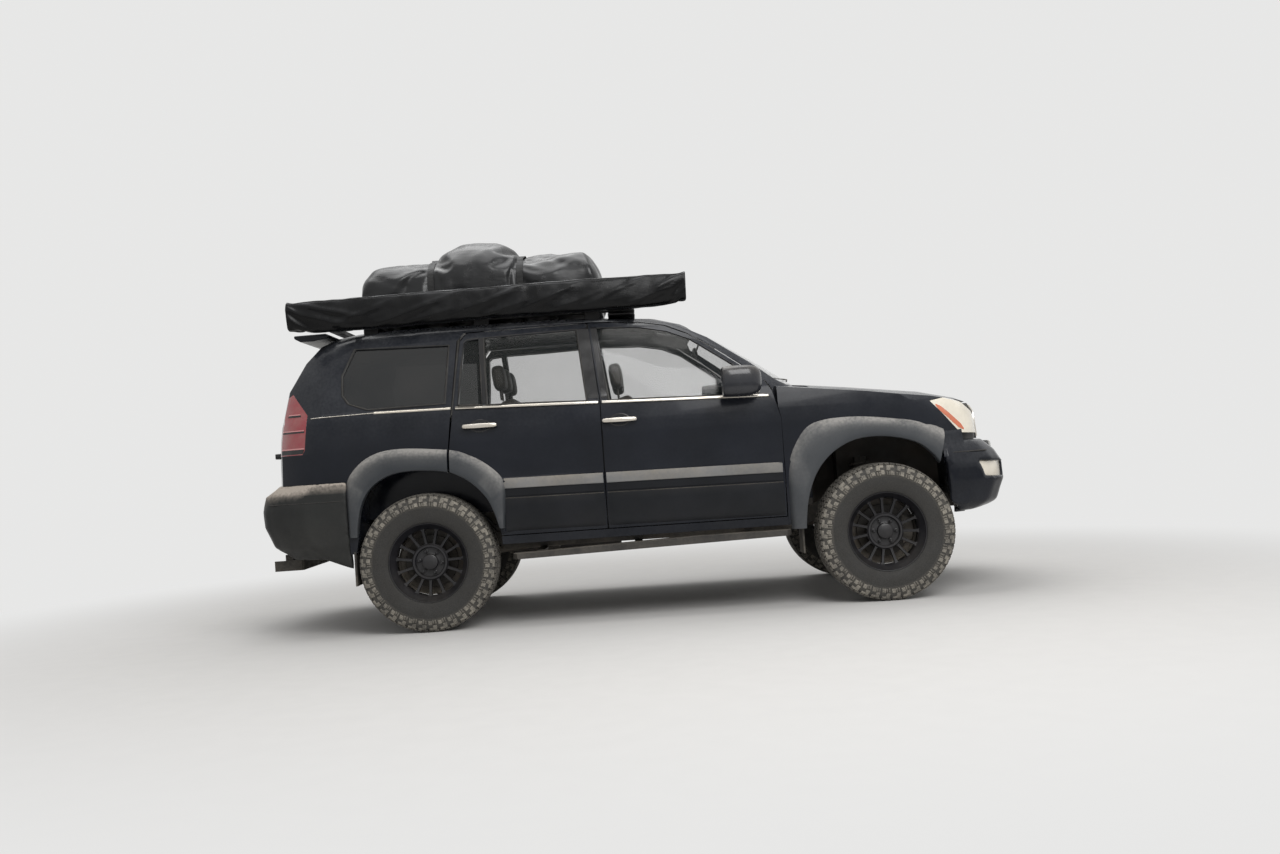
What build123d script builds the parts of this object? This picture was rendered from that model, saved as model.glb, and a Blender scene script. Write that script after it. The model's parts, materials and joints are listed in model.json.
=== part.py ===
from build123d import *
import math
import os

# A lifted body-on-frame four by four with a roof rack, a packed roof tent and a packed side awning.
# Millimetres. +X is forward, +Y is the vehicle's left, +Z is up, and z = 0 is the ground.

# Driving dimensions
wheelbase = 2790.0
front_axle_x = 1510.0
rear_axle_x = front_axle_x - wheelbase
wheel_radius = 419.0
tyre_width = 285.0
wheel_sides = 26
spoke_count = 15
lug_count = 13
bead_radius = 238.0
lug_gap = 26.0
wheel_mid_y = 787.0
rack_z = 1902.0
kingpin_y = 720.0
steer_room = 462.0
axle_z = wheel_radius
door_wall = 108.0
pillar_wall = 50.0
bumper_wall = 62.0
wing_wall = 42.0
waist_z = 1296.0
cowl_x = 1122.0
door_split_x = -180.0
belt_z = 1345.0
door_waist_z = 1150.0
roof_seam_z = 1758.0
spoke_root = 104.0
spoke_half = 11.0
glass_depth = 9.0
glass_thickness = 5.0
far = 3000.0

# Body without its bumpers: z, nose x, nose corner x, tail x, tail corner x, half width
body_levels = [
    (500, 2190, 2090, -2170, -2110, 890),
    (600, 2200, 2100, -2215, -2150, 905),
    (882, 2235, 2140, -2251, -2177, 916),
    (904, 2240, 2150, -2252, -2178, 905),
    (1120, 2235, 2120, -2250, -2172, 902),
    (1210, 2190, 2050, -2245, -2165, 895),
    (1300, 2110, 1900, -2235, -2155, 881),
    (1345, 1990, 1800, -2220, -2145, 868),
    (1395, 1900, 1700, -2170, -2110, 830),
]

# Bumpers, same columns
bumper_levels = [
    (410, 2200, 2100, -2150, -2080, 872),
    (505, 2240, 2130, -2235, -2150, 893),
    (560, 2345, 2240, -2320, -2235, 910),
    (690, 2390, 2290, -2388, -2285, 921),
    (800, 2388, 2285, -2390, -2290, 923),
    (875, 2345, 2240, -2375, -2268, 919),
    (942, 2262, 2170, -2262, -2180, 907),
]

# Glass house: z, windscreen x, its corner x, rear x, rear corner x, half width
house_levels = [
    (1200, 1330, 1200, -2225, -2160, 876),
    (1345, 1130, 1012, -2212, -2148, 862),
    (1520, 885, 787, -2165, -2120, 806),
    (1700, 615, 535, -2068, -2020, 736),
    (1800, 420, 345, -1975, -1930, 692),
    (1845, 265, 190, -1880, -1826, 664),
    (1872, -20, -100, -1760, -1700, 610),
    (1888, -180, -260, -1600, -1540, 470),
]

# Bonnet and wing tops: x, z at the middle, z at 950 mm out
crown_stations = [
    (900, 1404, 1338),
    (1400, 1346, 1280),
    (1850, 1290, 1212),
    (2080, 1243, 1135),
    (2200, 1196, 1070),
    (2460, 1000, 900),
]

# Wheel openings: left x, right x, top z, left corner radius, right corner radius
front_arch = (1015, 1911, 1001, 440, 370)
rear_arch = (-1690, -825, 982, 330, 437)

os.makedirs("parts", exist_ok=True)


def soften(points, reaches, chords=4):
    """The outline with some corners rounded; reaches gives a corner's number and how far its curve reaches."""
    result = []
    for number, corner in enumerate(points):
        reach = reaches.get(number, 0.0)
        if reach == 0.0:
            result.append(corner)
            continue
        middle = Vector(*corner)
        start = middle + (Vector(*points[number - 1]) - middle).normalized() * reach
        end = middle + (Vector(*points[(number + 1) % len(points)]) - middle).normalized() * reach
        for step in range(chords + 1):
            share = step / chords
            # A little fuller than a parabola, so that a square corner comes near a circle
            bulge = 1.18 * share * (1 - share)
            spot = start * ((1 - share) ** 2) + end * (share ** 2) + (start + end) * (share * (1 - share) - bulge)
            spot = spot + middle * (2 * bulge)
            result.append((spot.X, spot.Y))
    return result


def plate(points, axis, start, end):
    """A flat outline pushed along one axis."""
    place = {
        "x": lambda a, b: (start, a, b),
        "y": lambda a, b: (a, start, b),
        "z": lambda a, b: (a, b, start),
    }[axis]
    along = {"x": (1, 0, 0), "y": (0, 1, 0), "z": (0, 0, 1)}[axis]
    face = make_face(Polyline(*[place(a, b) for a, b in points], close=True))
    return extrude(face, amount=end - start, dir=along)


def block(x0, x1, y0, y1, z0, z1):
    return Pos((x0 + x1) / 2, (y0 + y1) / 2, (z0 + z1) / 2) * Box(x1 - x0, y1 - y0, z1 - z0)


def rod(start, end, radius, sides=8):
    """A round bar between two points."""
    line = Vector(*end) - Vector(*start)
    plane = Plane(origin=start, z_dir=line)
    return extrude(plane * RegularPolygon(radius, sides), amount=line.length)


def pin(start, end, radius):
    """A true round bar between two points."""
    line = Vector(*end) - Vector(*start)
    return extrude(Plane(origin=start, z_dir=line) * Circle(radius), amount=line.length)


def skin_over(rings):
    """The solid between flat outlines of as many corners each, closed with flat facets."""
    faces = [make_face(Polyline(*ring, close=True)).face() for ring in (rings[0], rings[-1])]
    for low, high in zip(rings, rings[1:]):
        for number in range(len(low)):
            a, b = Vector(*low[number - 1]), Vector(*low[number])
            d, c = Vector(*high[number - 1]), Vector(*high[number])
            corners = [(a, b, c, d)]
            # A twisted strip is folded along its shorter diagonal
            if abs((b - a).cross(d - a).normalized().dot(c - a)) > 0.001:
                corners = [(a, b, c), (a, c, d)] if (c - a).length < (d - b).length else [(a, b, d), (b, c, d)]
            faces += [make_face(Polyline(*one, close=True)).face() for one in corners]
    return Solid(Shell(faces))


def ring_points(radius, sides):
    """Corners of a regular outline whose flats stand at the radius."""
    reach = radius / math.cos(math.pi / sides)
    turns = [(number + 0.5) * 2 * math.pi / sides for number in range(sides)]
    return [(reach * math.sin(turn), reach * math.cos(turn)) for turn in turns]


def turned(rows, sides=wheel_sides):
    """A turned shape along Y with flats for facets; rows holds y and the radius out to the flats."""
    return skin_over([[(x, y, z) for x, z in ring_points(radius, sides)] for y, radius in rows])


def both_sides(shape):
    return shape + mirror(shape, about=Plane.XZ)


def outline(z, front, front_corner, rear, rear_corner, half, front_reach, rear_reach, chords):
    """The plan of the body at one height, with rounded corners; the rear ones take one chord less."""
    left = [
        (front, 0.36 * half),
        (front_corner, 0.84 * half),
        (front_corner - 340, half),
        (rear_corner + 260, half),
        (rear_corner, 0.87 * half),
        (rear, 0.42 * half),
    ]
    left = soften(soften(left, {4: rear_reach}, chords - 1), {1: front_reach}, chords)
    points = left + [(x, -y) for x, y in reversed(left)]
    return [(x, y, z) for x, y in points]


def hull(levels, inset=0.0, chords=3, front_reach=205.0, rear_reach=95.0):
    """The solid inside a skin; inset moves every wall inward, and an inner face needs fewer chords."""
    rows = []
    for z, front, front_corner, rear, rear_corner, half in levels:
        rows.append(outline(z, front - inset, front_corner - inset, rear + inset, rear_corner + inset,
                            half - inset, front_reach, rear_reach, chords))
    return skin_over(rows)


def glass_house(inset=0.0, chords=3):
    """The solid inside the pillars and roof; the roof is a little thinner than the pillars."""
    rows = []
    for z, front, front_corner, rear, rear_corner, half in house_levels:
        drop = 0.7 * inset if z > 1750 else 0.0
        rows.append(outline(z - drop, front - 1.4 * inset, front_corner - 1.4 * inset, rear + inset,
                            rear_corner + inset, half - inset, 80.0, 75.0, chords))
    return skin_over(rows)


def crown_volume():
    """All that lies under the bonnet and the wing tops."""
    sections = []
    for x, middle, edge in crown_stations:
        top = [(x, 950 * t, middle - (middle - edge) * t * t) for t in (-1, -0.5, 0, 0.5, 1)]
        sections.append(top + [(x, 950, 300), (x, -950, 300)])
    return skin_over(sections)


def arch(row, grow=0.0, inner=400.0, outer=1000.0, floor=150.0):
    """The wheel opening as a tool along Y, on the left side."""
    left, right, top, left_round, right_round = row
    points = [(left - grow, floor), (left - grow, top + grow), (right + grow, top + grow), (right + grow, floor)]
    return plate(soften(points, {1: left_round + grow, 2: right_round + grow}), "y", inner, outer)


def swing():
    """The room that a steered front wheel sweeps, on the left side: a ball with flats."""
    rings = []
    for share in (-1, -0.72, -0.25, 0.25, 0.72, 1):
        radius = steer_room * math.sqrt(max(1.06 - share * share, 0.02))
        rings.append([(front_axle_x + x, kingpin_y + y, axle_z + share * steer_room)
                      for x, y in ring_points(radius, 12)])
    return skin_over(rings)


# Side views of the doors, x and z, anticlockwise from the lower front
front_door_side = [
    (909, 555), (914, 1150), (870, 1325), (812, 1420), (560, 1610), (385, 1727),
    (250, 1788), (90, 1818), (-229, 1828), (-177, 1340), (-177, 555),
]
front_door_hole = [
    (915, 549), (920, 1150), (878, 1327), (818, 1426), (564, 1617), (388, 1734),
    (252, 1794), (90, 1824), (-262, 1834), (-180, 1340), (-180, 549),
]
rear_door_side = [
    (-183, 555), (-183, 1340), (-243, 1828), (-985, 1816), (-1030, 1765),
    (-1074, 1360), (-1112, 1090), (-1118, 900), (-1118, 555),
]
rear_door_hole = [
    (-180, 549), (-180, 1340), (-225, 1834), (-1004, 1822), (-1050, 1768),
    (-1088, 1360), (-1119, 1090), (-1125, 900), (-1125, 549),
]
front_window_side = [
    (655, 1312), (655, 1508), (401, 1691), (262, 1750), (96, 1782), (-182, 1792), (-122, 1333),
]
rear_window_side = [(-262, 1338), (-304, 1790), (-880, 1776), (-868, 1354)]
rear_light_side = [(-899, 1355), (-915, 1774), (-985, 1768), (-1006, 1750), (-1046, 1368), (-1030, 1359)]
quarter_window_side = [
    (-1128, 1378), (-1102, 1744), (-1682, 1756), (-1755, 1593), (-1752, 1469), (-1715, 1415), (-1600, 1372),
]
headlamp_side = [
    (1836, 1196), (1940, 1214), (2012, 1204), (2070, 1175), (2140, 1110), (2300, 1040), (2300, 975), (2022, 990),
]
tail_lamp_side = [(-2081, 1502), (-1975, 1362), (-1993, 1150), (-2010, 1122), (-2300, 1122), (-2300, 1380)]


# Views of the other openings; "side" is x and z, "view" is y and z, "plan" is x and y
front_strip_side = [(858, 1288), (858, 1302), (-174, 1331), (-174, 1314)]
rear_strip_side = [(-186, 1314), (-186, 1331), (-1068, 1354), (-1070, 1338)]
gate_view = [(-684, 812), (684, 812), (684, 1400), (650, 1520), (584, 1760), (-598, 1760), (-664, 1520), (-684, 1400)]
gate_hole = [(-690, 800), (691, 800), (693, 1400), (668, 1520), (606, 1766), (-606, 1766), (-671, 1520), (-690, 1400)]
rear_window_view = [
    (-575, 1372), (575, 1372), (590, 1420), (520, 1690), (480, 1712), (-480, 1712), (-520, 1690), (-590, 1420),
]
screen_view = [
    (-700, 1362), (700, 1362), (716, 1400), (590, 1770), (540, 1800), (-540, 1800), (-590, 1770), (-716, 1400),
]
screen_header = [(150, 1300), (150, 1900), (260, 1900), (900, 1300)]
front_bumper_side = [(1897, 380), (1887, 837), (1935, 1006), (2500, 1006), (2500, 380)]
rear_bumper_side = [(-1745, 380), (-1745, 938), (-2500, 938), (-2500, 380)]
intake_view = [(-470, 590), (470, 590), (520, 680), (480, 745), (-480, 745), (-520, 680)]
fog_side = [(2116, 809), (2350, 796), (2350, 699), (2159, 716)]
grille_view = [(-548, 948), (548, 948), (556, 1100), (500, 1176), (-500, 1176), (-556, 1100)]
grille_mouth_view = [(-520, 968), (520, 968), (530, 1095), (480, 1156), (-480, 1156), (-530, 1095)]
bonnet_half = [(1122, 752), (1850, 716), (2040, 610), (2150, 470), (2188, 300), (2200, 0)]
bonnet_plan = bonnet_half + [(x, -y) for x, y in reversed(bonnet_half[:-1])]
bonnet_hole_half = [(1100, 758), (1853, 722), (2046, 614), (2157, 474), (2195, 302), (2208, 0)]
bonnet_hole = bonnet_hole_half + [(x, -y) for x, y in reversed(bonnet_hole_half[:-1])]
wing_side = [(915, 400), (915, 1150), (878, 1327), (860, 1500), (2300, 1500), (2300, 400)]
post_side = [(-120, 600), (-120, 1340), (-190, 1870), (-300, 1870), (-262, 1340), (-262, 600)]
floor_side = [
    (1120, 640), (1120, 600), (900, 560), (-880, 560), (-1000, 690), (-2116, 690), (-2116, 730), (-1020, 730),
    (-900, 600), (880, 600), (1080, 640),
]
front_flare_side = [
    (931, 470), (931, 880), (1000, 1005), (1085, 1112), (1159, 1131), (1407, 1127), (1592, 1101), (1776, 1070),
    (1890, 1024), (1890, 470),
]
rear_flare_side = [
    (-1753, 900), (-1681, 1028), (-1594, 1094), (-1473, 1119), (-1353, 1116), (-1116, 1091), (-998, 1060),
    (-906, 1000), (-793, 902), (-793, 560), (-1753, 560),
]


def mask(points, low, high):
    """A plan outline used to trim a door, from low to high."""
    return plate(points, "z", low, high)


def door_shell(wall, side, hinge_edge_x, lower_rear_x, upper_rear_x):
    """One left door: the whole wall inside its side view, with its rear edge sloped so that it swings clear."""
    solid = wall & plate(side, "y", 500, 1000)
    lower = mask([(hinge_edge_x, 600), (hinge_edge_x, 990), (lower_rear_x, 990), (lower_rear_x, 916),
                  (lower_rear_x + 26, 780), (lower_rear_x + 26, 600)], 500, door_waist_z)
    waist = mask([(hinge_edge_x, 600), (hinge_edge_x, 990), (lower_rear_x, 990), (lower_rear_x, 830),
                  (lower_rear_x + 52, 780), (lower_rear_x + 52, 600)], door_waist_z, belt_z)
    upper = mask([(hinge_edge_x, 500), (hinge_edge_x, 990), (upper_rear_x, 990), (upper_rear_x, 500)],
                 belt_z, 1900)
    return solid & (lower + waist + upper)


def window_pane(layer, side, low_y=500.0):
    return layer & plate(side, "y", low_y, 1000)


def door_handle(x, z, y):
    """A bowed pull bar on two feet."""
    feet = [block(x + s * 82 - 15, x + s * 82 + 15, y - 6, y + 22, z - 9, z + 9) for s in (-1, 1)]
    bar = plate([(x - 100, y + 20), (x + 100, y + 20), (x + 100, y + 27), (x + 70, y + 38), (x - 70, y + 38),
                 (x - 100, y + 27)], "z", z - 12, z + 12)
    return feet[0] + feet[1] + bar


def mirror_housing():
    """The left door mirror: an arm and a shell."""
    side = [(565, 1325), (590, 1300), (770, 1292), (800, 1330), (775, 1455), (720, 1482), (600, 1482), (565, 1450)]
    shell = plate(soften(side, {4: 35, 5: 25, 6: 20}, 2), "y", 905, 1070)
    shell = shell & plate([(560, 905), (560, 1050), (590, 1070), (700, 1066), (790, 1000), (805, 905)], "z",
                          1280, 1500)
    arm = block(640, 760, 840, 915, 1318, 1362)
    return shell + arm


def seat(x, y, z, width, rests):
    """Cushion and back, with a headrest at each of the places across."""
    cushion = plate([(0, 0), (500, 20), (520, 110), (480, 150), (40, 120), (0, 90)], "y", -width / 2, width / 2)
    back = plate([(30, 60), (-150, 640), (-60, 670), (60, 600), (150, 130)], "y", -width / 2, width / 2)
    whole = cushion + back
    for middle in rests:
        whole += plate([(-165, 690), (-190, 860), (-110, 880), (-75, 700)], "y", middle - 125, middle + 125)
        whole += plate([(-138, 630), (-152, 720), (-118, 720), (-104, 630)], "y", middle - 60, middle + 60)
    return Pos(x, y, z) * whole


def rim():
    """A deep multi-spoke wheel with its axis along Y through the origin, outer face towards +Y."""
    wheel = turned([(-110, bead_radius), (110, bead_radius)])
    wheel -= turned([(-130, 230), (40, 206), (130, 232)])
    hub = turned([(2, spoke_root), (52, spoke_root), (60, spoke_root - 12)], spoke_count)
    hub -= turned([(44, 74), (70, 78)], spoke_count)
    # Each spoke is a bar that rises from the hub to the rim, wider at the rim
    spoke = plate([(spoke_root - 8, 8), (212, 40), (212, 63), (spoke_root - 8, 42)], "z", -spoke_half, spoke_half)
    for number in range(spoke_count):
        wheel += Rot(0, (number + 0.5) * 360 / spoke_count, 0) * spoke
    return wheel + hub


def tyre():
    """The tyre with its axis along Y through the origin; notches part the lugs at both shoulders."""
    half = tyre_width / 2
    bead = bead_radius + 0.3
    side = [(109.5, bead), (half, 330), (134, 396), (108, wheel_radius)]
    ring = turned([(-y, radius) for y, radius in side] + [(y, radius) for y, radius in reversed(side)])
    ring -= turned([(-109.5, bead), (109.5, bead)])
    notch = plate([(112, 384), (160, 352), (160, 430), (112, 430)], "x", -lug_gap / 2, lug_gap / 2)
    notches = [Rot(0, number * 360 / lug_count, 0) * notch for number in range(lug_count)]
    for one in notches:
        ring -= one
        ring -= mirror(one, about=Plane.XZ)
    return ring


def knuckle():
    """The left steering knuckle with its caliper, about the kingpin."""
    upright = block(front_axle_x - 38, front_axle_x + 38, 692, 740, 268, 566)
    hub = rod((front_axle_x, 739, axle_z), (front_axle_x, wheel_mid_y + 1, axle_z), 62, 12)
    kingpin = rod((front_axle_x, kingpin_y, 264.5), (front_axle_x, kingpin_y, 571.5), 19)
    arm = block(front_axle_x - 170, front_axle_x - 38, 696, 724, 330, 362)
    caliper = plate([(120, -90), (178, -60), (186, 0), (178, 60), (120, 90)], "y", 0, 60)
    caliper = Pos(front_axle_x, 700, axle_z) * caliper
    bridge = block(front_axle_x + 30, front_axle_x + 130, 700, 736, axle_z - 30, axle_z + 30)
    return upright + hub + kingpin + arm + caliper + bridge


def make_flare(row, side):
    """A wheel arch flare on the left side, standing 21 mm off the skin with a sloped rim."""
    corners = [(x, 893, z) for x, z in side]
    face = make_face(Polyline(*corners, close=True))
    raised = extrude(face, amount=44, dir=(0, 1, 0), taper=26)
    return raised - arch(row) - skin


def write(name, shape):
    export_step(shape, f"parts/{name}.step")


def write_pair(name, shape, tail=""):
    """The left piece and its mirror image on the right."""
    write(f"{name}_left{tail}", shape)
    write(f"{name}_right{tail}", mirror(shape, about=Plane.XZ))


def zone(x0=-2500.0, x1=2500.0, z0=400.0, z1=2000.0):
    """All of the body between two x and two z values."""
    return block(x0, x1, -far, far, z0, z1)


# Skins that the panels are cut from
crown = crown_volume()
skin = hull(body_levels)
house = glass_house()
bumper_skin = hull(bumper_levels)
inner_levels = body_levels[::2]
bumper_room = hull(bumper_levels[::2], bumper_wall, 2)
room = hull(inner_levels, door_wall, 2)
house_room = glass_house(pillar_wall, 2) & zone(z0=waist_z)
walls = ((skin & crown) + (skin & zone(x1=900, z1=1420)) + house) & zone(x1=cowl_x)
shell = walls - ((room & zone(z1=waist_z)) + house_room)
glass_layer = glass_house(glass_depth) - glass_house(glass_depth + glass_thickness)
nose = (skin & crown) & zone(x0=cowl_x)
nose_room = hull(inner_levels, wing_wall, 2) & (Pos(0, 0, -wing_wall) * crown)
nose_shell = nose - nose_room

# Tools that cut the same opening in more than one panel
front_opening = arch(front_arch, 0, 560)
rear_opening = arch(rear_arch, 0, 560)
rear_opening += plate([(-1717, 150), (-1717, 470), (-1690, 590), (-1600, 590), (-1600, 150)], "y", 560, 1000)
wheel_sweep = swing()
lamp_tool = plate(headlamp_side, "y", 560, 1000)
tail_tool = plate(tail_lamp_side, "y", 698, 1000)
quarter_tool = plate(quarter_window_side, "y", 500, 1000)
grille_tool = plate(grille_view, "x", 2000, 2500)
strip_skins = skin + house
fog_tool = plate(fog_side, "y", 560, 1000)
front_lip = plate(front_bumper_side, "y", -far, far)
rear_lip = plate(rear_bumper_side, "y", -far, far)
screen_tool = plate(screen_view, "x", 150, 1400) - plate(screen_header, "y", -far, far)


def make_doors():
    """Four doors with their handles and belt mouldings, their glass and the mirrors."""
    left_shell = shell & block(-2500, 2500, 0, far, 400, 2000)
    strip_layer = hull(body_levels[4:8], -9.0) - strip_skins
    front = door_shell(left_shell, front_door_side, 960, door_split_x + 3, -400)
    front -= plate(front_window_side, "y", 500, 1000)
    rear = door_shell(left_shell, rear_door_side, -100, -1118, -1200)
    rear += make_flare(rear_arch, rear_flare_side) & plate(rear_door_side, "y", 500, 1000)
    rear -= rear_opening
    for side in (rear_window_side, rear_light_side):
        rear -= plate(side, "y", 500, 1000)
    front += (strip_layer & plate(front_strip_side, "y", 700, 1000)) + door_handle(-68, 1206, 898)
    rear += (strip_layer & plate(rear_strip_side, "y", 700, 1000)) + door_handle(-916, 1226, 898)
    rear_glass = window_pane(glass_layer, rear_window_side) + window_pane(glass_layer, rear_light_side)
    write_pair("door_front", front)
    write_pair("door_rear", rear)
    write_pair("door_front", window_pane(glass_layer, front_window_side), "_glass")
    write_pair("door_rear", rear_glass, "_glass")
    write_pair("mirror", mirror_housing() - strip_skins)


def make_tailgate():
    """The side-hinged tailgate and its glass."""
    gate = shell & plate(gate_view, "x", -2500, -1700)
    write("tailgate", gate - plate(rear_window_view, "x", -2500, -1700))
    write("tailgate_glass", glass_layer & plate(rear_window_view, "x", -2500, -1700))


def make_fixed_glass():
    write("windscreen", glass_layer & screen_tool)
    write("quarter_glass", both_sides(glass_layer & quarter_tool))


def make_front_bumper():
    """Front bumper with its intake bars and fog lamp pockets."""
    under = plate([(1700, 380), (1700, 505), (2100, 512), (2330, 556), (2500, 556), (2500, 380)], "y", -far, far)
    intake = plate(intake_view, "x", 2100, 2500)
    bumper = (bumper_skin - bumper_room) & front_lip
    bumper -= both_sides(front_opening + wheel_sweep + fog_tool) + under + intake
    bar_layer = (hull(bumper_levels, 30.0, 2) - hull(bumper_levels, 54.0, 2)) & intake
    for z in (640, 682):
        bumper += bar_layer & zone(2100, 2500, z, z + 18)
    write("front_bumper", bumper)
    return bumper


def make_rear_bumper():
    under = plate([(-2500, 380), (-2500, 492), (-1900, 476), (-1747, 415), (-1500, 380)], "y", -far, far)
    notch = block(-2500, -2000, -712, 712, 800, 1000)
    bumper = (bumper_skin - bumper_room) & rear_lip
    bumper -= both_sides(rear_opening) + under + notch
    step = (bumper_skin & block(-2420, -2268, -712, 712, 772, 800)) - bumper
    write("rear_bumper", bumper + step)


def make_lamps():
    """Headlamps with the fog lamps, and tail lamps."""
    fog_layer = hull(bumper_levels, 14.0, 2) - hull(bumper_levels, 34.0, 2)
    headlamps = (nose_shell & lamp_tool) - bumper_skin
    write("headlamps", both_sides(headlamps + (fog_layer & fog_tool)))
    write("tail_lamps", both_sides((shell & tail_tool) & block(-2400, -1900, 0, far, 1100, 1520)))


def make_grille():
    """A frame with five bars across and one upright."""
    hole = plate(grille_mouth_view, "x", 2000, 2500)
    grille = (nose_shell & grille_tool) - hole
    for z in (998, 1030, 1062, 1094, 1126):
        lean = 0.16 * (z - 998)
        bow = [(2216 - lean, 0), (2216 - lean, 318), (2104 - lean, 560), (2080 - lean, 560), (2192 - lean, 306),
               (2192 - lean, 0)]
        grille += both_sides(plate(bow, "z", z - 7, z + 7)) & hole
    grille += plate([(2214, 960), (2190, 1170), (2170, 1170), (2194, 960)], "y", -8, 8) & hole
    write("grille", grille - bumper_skin)


def make_bonnet():
    bonnet = (nose_shell & plate(bonnet_plan, "z", 1100, 1500)) & zone(1100, 2500, 1186, 1500)
    write("bonnet", bonnet - both_sides(plate(headlamp_side, "y", 520, 1000)) - grille_tool)


def make_wings(bumper):
    """Front wings with their liners over the wheels."""
    wing_zone = plate(wing_side, "y", 560, 1000)
    wing = ((skin & crown) - nose_room - room) & block(860, 2040, 0, far, 400, 1500) & wing_zone
    liner_row = (1002, 1934, 1012, 440, 380)
    liner = (arch(liner_row, 10, 560) - arch(liner_row, 0, 500)) & block(980, 1990, 560, 885, 620, 1100)
    wing += liner & skin
    wing -= front_opening + wheel_sweep + lamp_tool + bumper
    wing -= plate(bonnet_hole, "z", 1150, 1500) + house
    wings = both_sides(wing - (front_lip - bumper_room))
    write("front_wings", wings)
    return wings


def make_cabin(wings):
    """Body sides with pillars, sills and rear wheel tubs; roof, floor and bulkhead with the cowl."""
    frame = shell - both_sides(plate(front_door_hole, "y", 500, 1000) + plate(rear_door_hole, "y", 500, 1000))
    frame -= plate(gate_hole, "x", -2500, -1700) + screen_tool + rear_lip
    frame -= both_sides(tail_tool + quarter_tool)
    frame -= both_sides(plate(wing_side, "y", 560, 1000) & (skin - house))
    post_room = glass_house(2.4 * pillar_wall, 2)
    lower = (hull(inner_levels, door_wall + 10, 2) - hull(inner_levels, door_wall + 60, 2)) & zone(z1=waist_z)
    upper = (glass_house(pillar_wall + 9, 2) - post_room) & zone(z0=waist_z)
    header = (glass_house(pillar_wall - 2, 2) - post_room) & zone(z0=1830) & block(-2500, 2500, 550, far, 400, 2000)
    centre_post = (lower + upper + header) & plate(post_side, "y", 500, 1000)
    hinge_post = hull(inner_levels, wing_wall, 2) - hull(inner_levels, door_wall + 70, 2)
    hinge_post &= block(926, 1080, 0, far, 560, 1300)
    tub = arch(rear_arch, 12, 560, 780) + (arch(rear_arch, 12, 780, 830) & zone(x1=-1126))
    tub = (tub & zone(z0=560, z1=1100)) + (arch(rear_arch, 12, 548, 560) & zone(z0=690, z1=1100))
    sill = (block(-822, 960, 762, 890, 506, 546) + block(-822, 960, 762, 779, 506, 600)) & skin
    wheel_rooms = both_sides(rear_opening + front_opening + wheel_sweep) + wings

    floor = plate(floor_side, "y", -779, 779) + block(-2165, -2115, -668, 668, 690, 796)
    floor -= both_sides(sill + tub + hinge_post) + wheel_rooms
    bulkhead = block(1080, cowl_x, -780, 780, 600, 1330) & skin & crown
    bulkhead += frame & block(600, cowl_x, -560, 560, 1200, 1420)
    bulkhead -= wheel_rooms + floor
    frame += both_sides(hinge_post + tub + sill)
    frame -= wheel_rooms + floor + bulkhead
    posts = both_sides(centre_post) - wheel_rooms - floor
    roof_zone = zone(z0=roof_seam_z) + block(200, 620, -560, 560, 1690, 1800)
    sides = (frame - roof_zone) + posts
    write("roof_panel", (frame & roof_zone) - posts)
    write("body_sides", sides)
    write("floor_pan", floor)
    write("bulkhead", bulkhead)
    return sides + floor + bulkhead


def make_flares_and_flaps(cabin, wings):
    """Wheel arch flares and the four mud flaps."""
    bumpers = (bumper_skin & front_lip) + (bumper_skin & rear_lip)
    front = make_flare(front_arch, front_flare_side) - wheel_sweep - bumpers
    rear = make_flare(rear_arch, rear_flare_side) - plate(rear_door_hole, "y", 500, 1000) - rear_opening
    write("arch_flares", both_sides(front + (rear - bumpers)))
    flap_rear = block(-1726, -1714, 700, 892, 306, 560) - (bumper_skin & rear_lip)
    flap_front = block(1000, 1011, 690, 856, 318, 700)
    write("mud_flaps", both_sides(flap_rear + flap_front) - cabin - wings)


def make_roof_load():
    """Rack, tent and awning on the roof."""
    rail = block(-1900, 66, 560, 604, rack_z, rack_z + 46)
    rack = both_sides(rail)
    for number in range(9):
        x = -1880 + number * 236
        rack += block(x - 30, x + 30, -560, 560, rack_z + 12, rack_z + 36)
    rack += block(20, 66, -560, 560, rack_z, rack_z + 48)
    for x in (-1600, -900, -200):
        foot = plate([(0, 0), (0, 70), (-40, 70), (-40, 0)], "x", x - 45, x + 45)
        rack += both_sides((Pos(0, 604, rack_z - 50) * foot))
    for x in (-1700, -820, 10):
        rack += block(x - 20, x + 20, -660, -604, rack_z + 6, rack_z + 40)
        rack += block(x - 20, x + 20, -668, -656, rack_z + 6, rack_z + 150)
    rack -= glass_house()
    write("roof_rack", rack)

    tent_side = [(-136, 1948), (-126, 2040), (-140, 2250), (-195, 2345), (-265, 2381), (-369, 2366), (-603, 2340),
                 (-689, 2373), (-758, 2430), (-859, 2451), (-1004, 2453), (-1093, 2422), (-1157, 2348),
                 (-1229, 2343), (-1577, 2367), (-1640, 2305), (-1650, 2122), (-1640, 1948)]
    tent = plate(tent_side, "y", -620, 620)
    write("roof_tent", tent)

    awning_end = ((-668, 1890), (-668, 2060), (-690, 2092), (-770, 2092), (-802, 2060), (-810, 1960), (-790, 1885),
                  (-700, 1878))
    write("awning_bag", skin_over([[(x, y, z + rise) for y, z in awning_end] for x, rise in ((-2086, 0), (403, 30))]))

    spoiler = plate([(-1850, 1866), (-1880, 1880), (-2078, 1876), (-2078, 1858), (-2040, 1836), (-1960, 1836),
                     (-1880, 1850)], "y", -640, 640)
    write("roof_spoiler", spoiler - glass_house())


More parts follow.
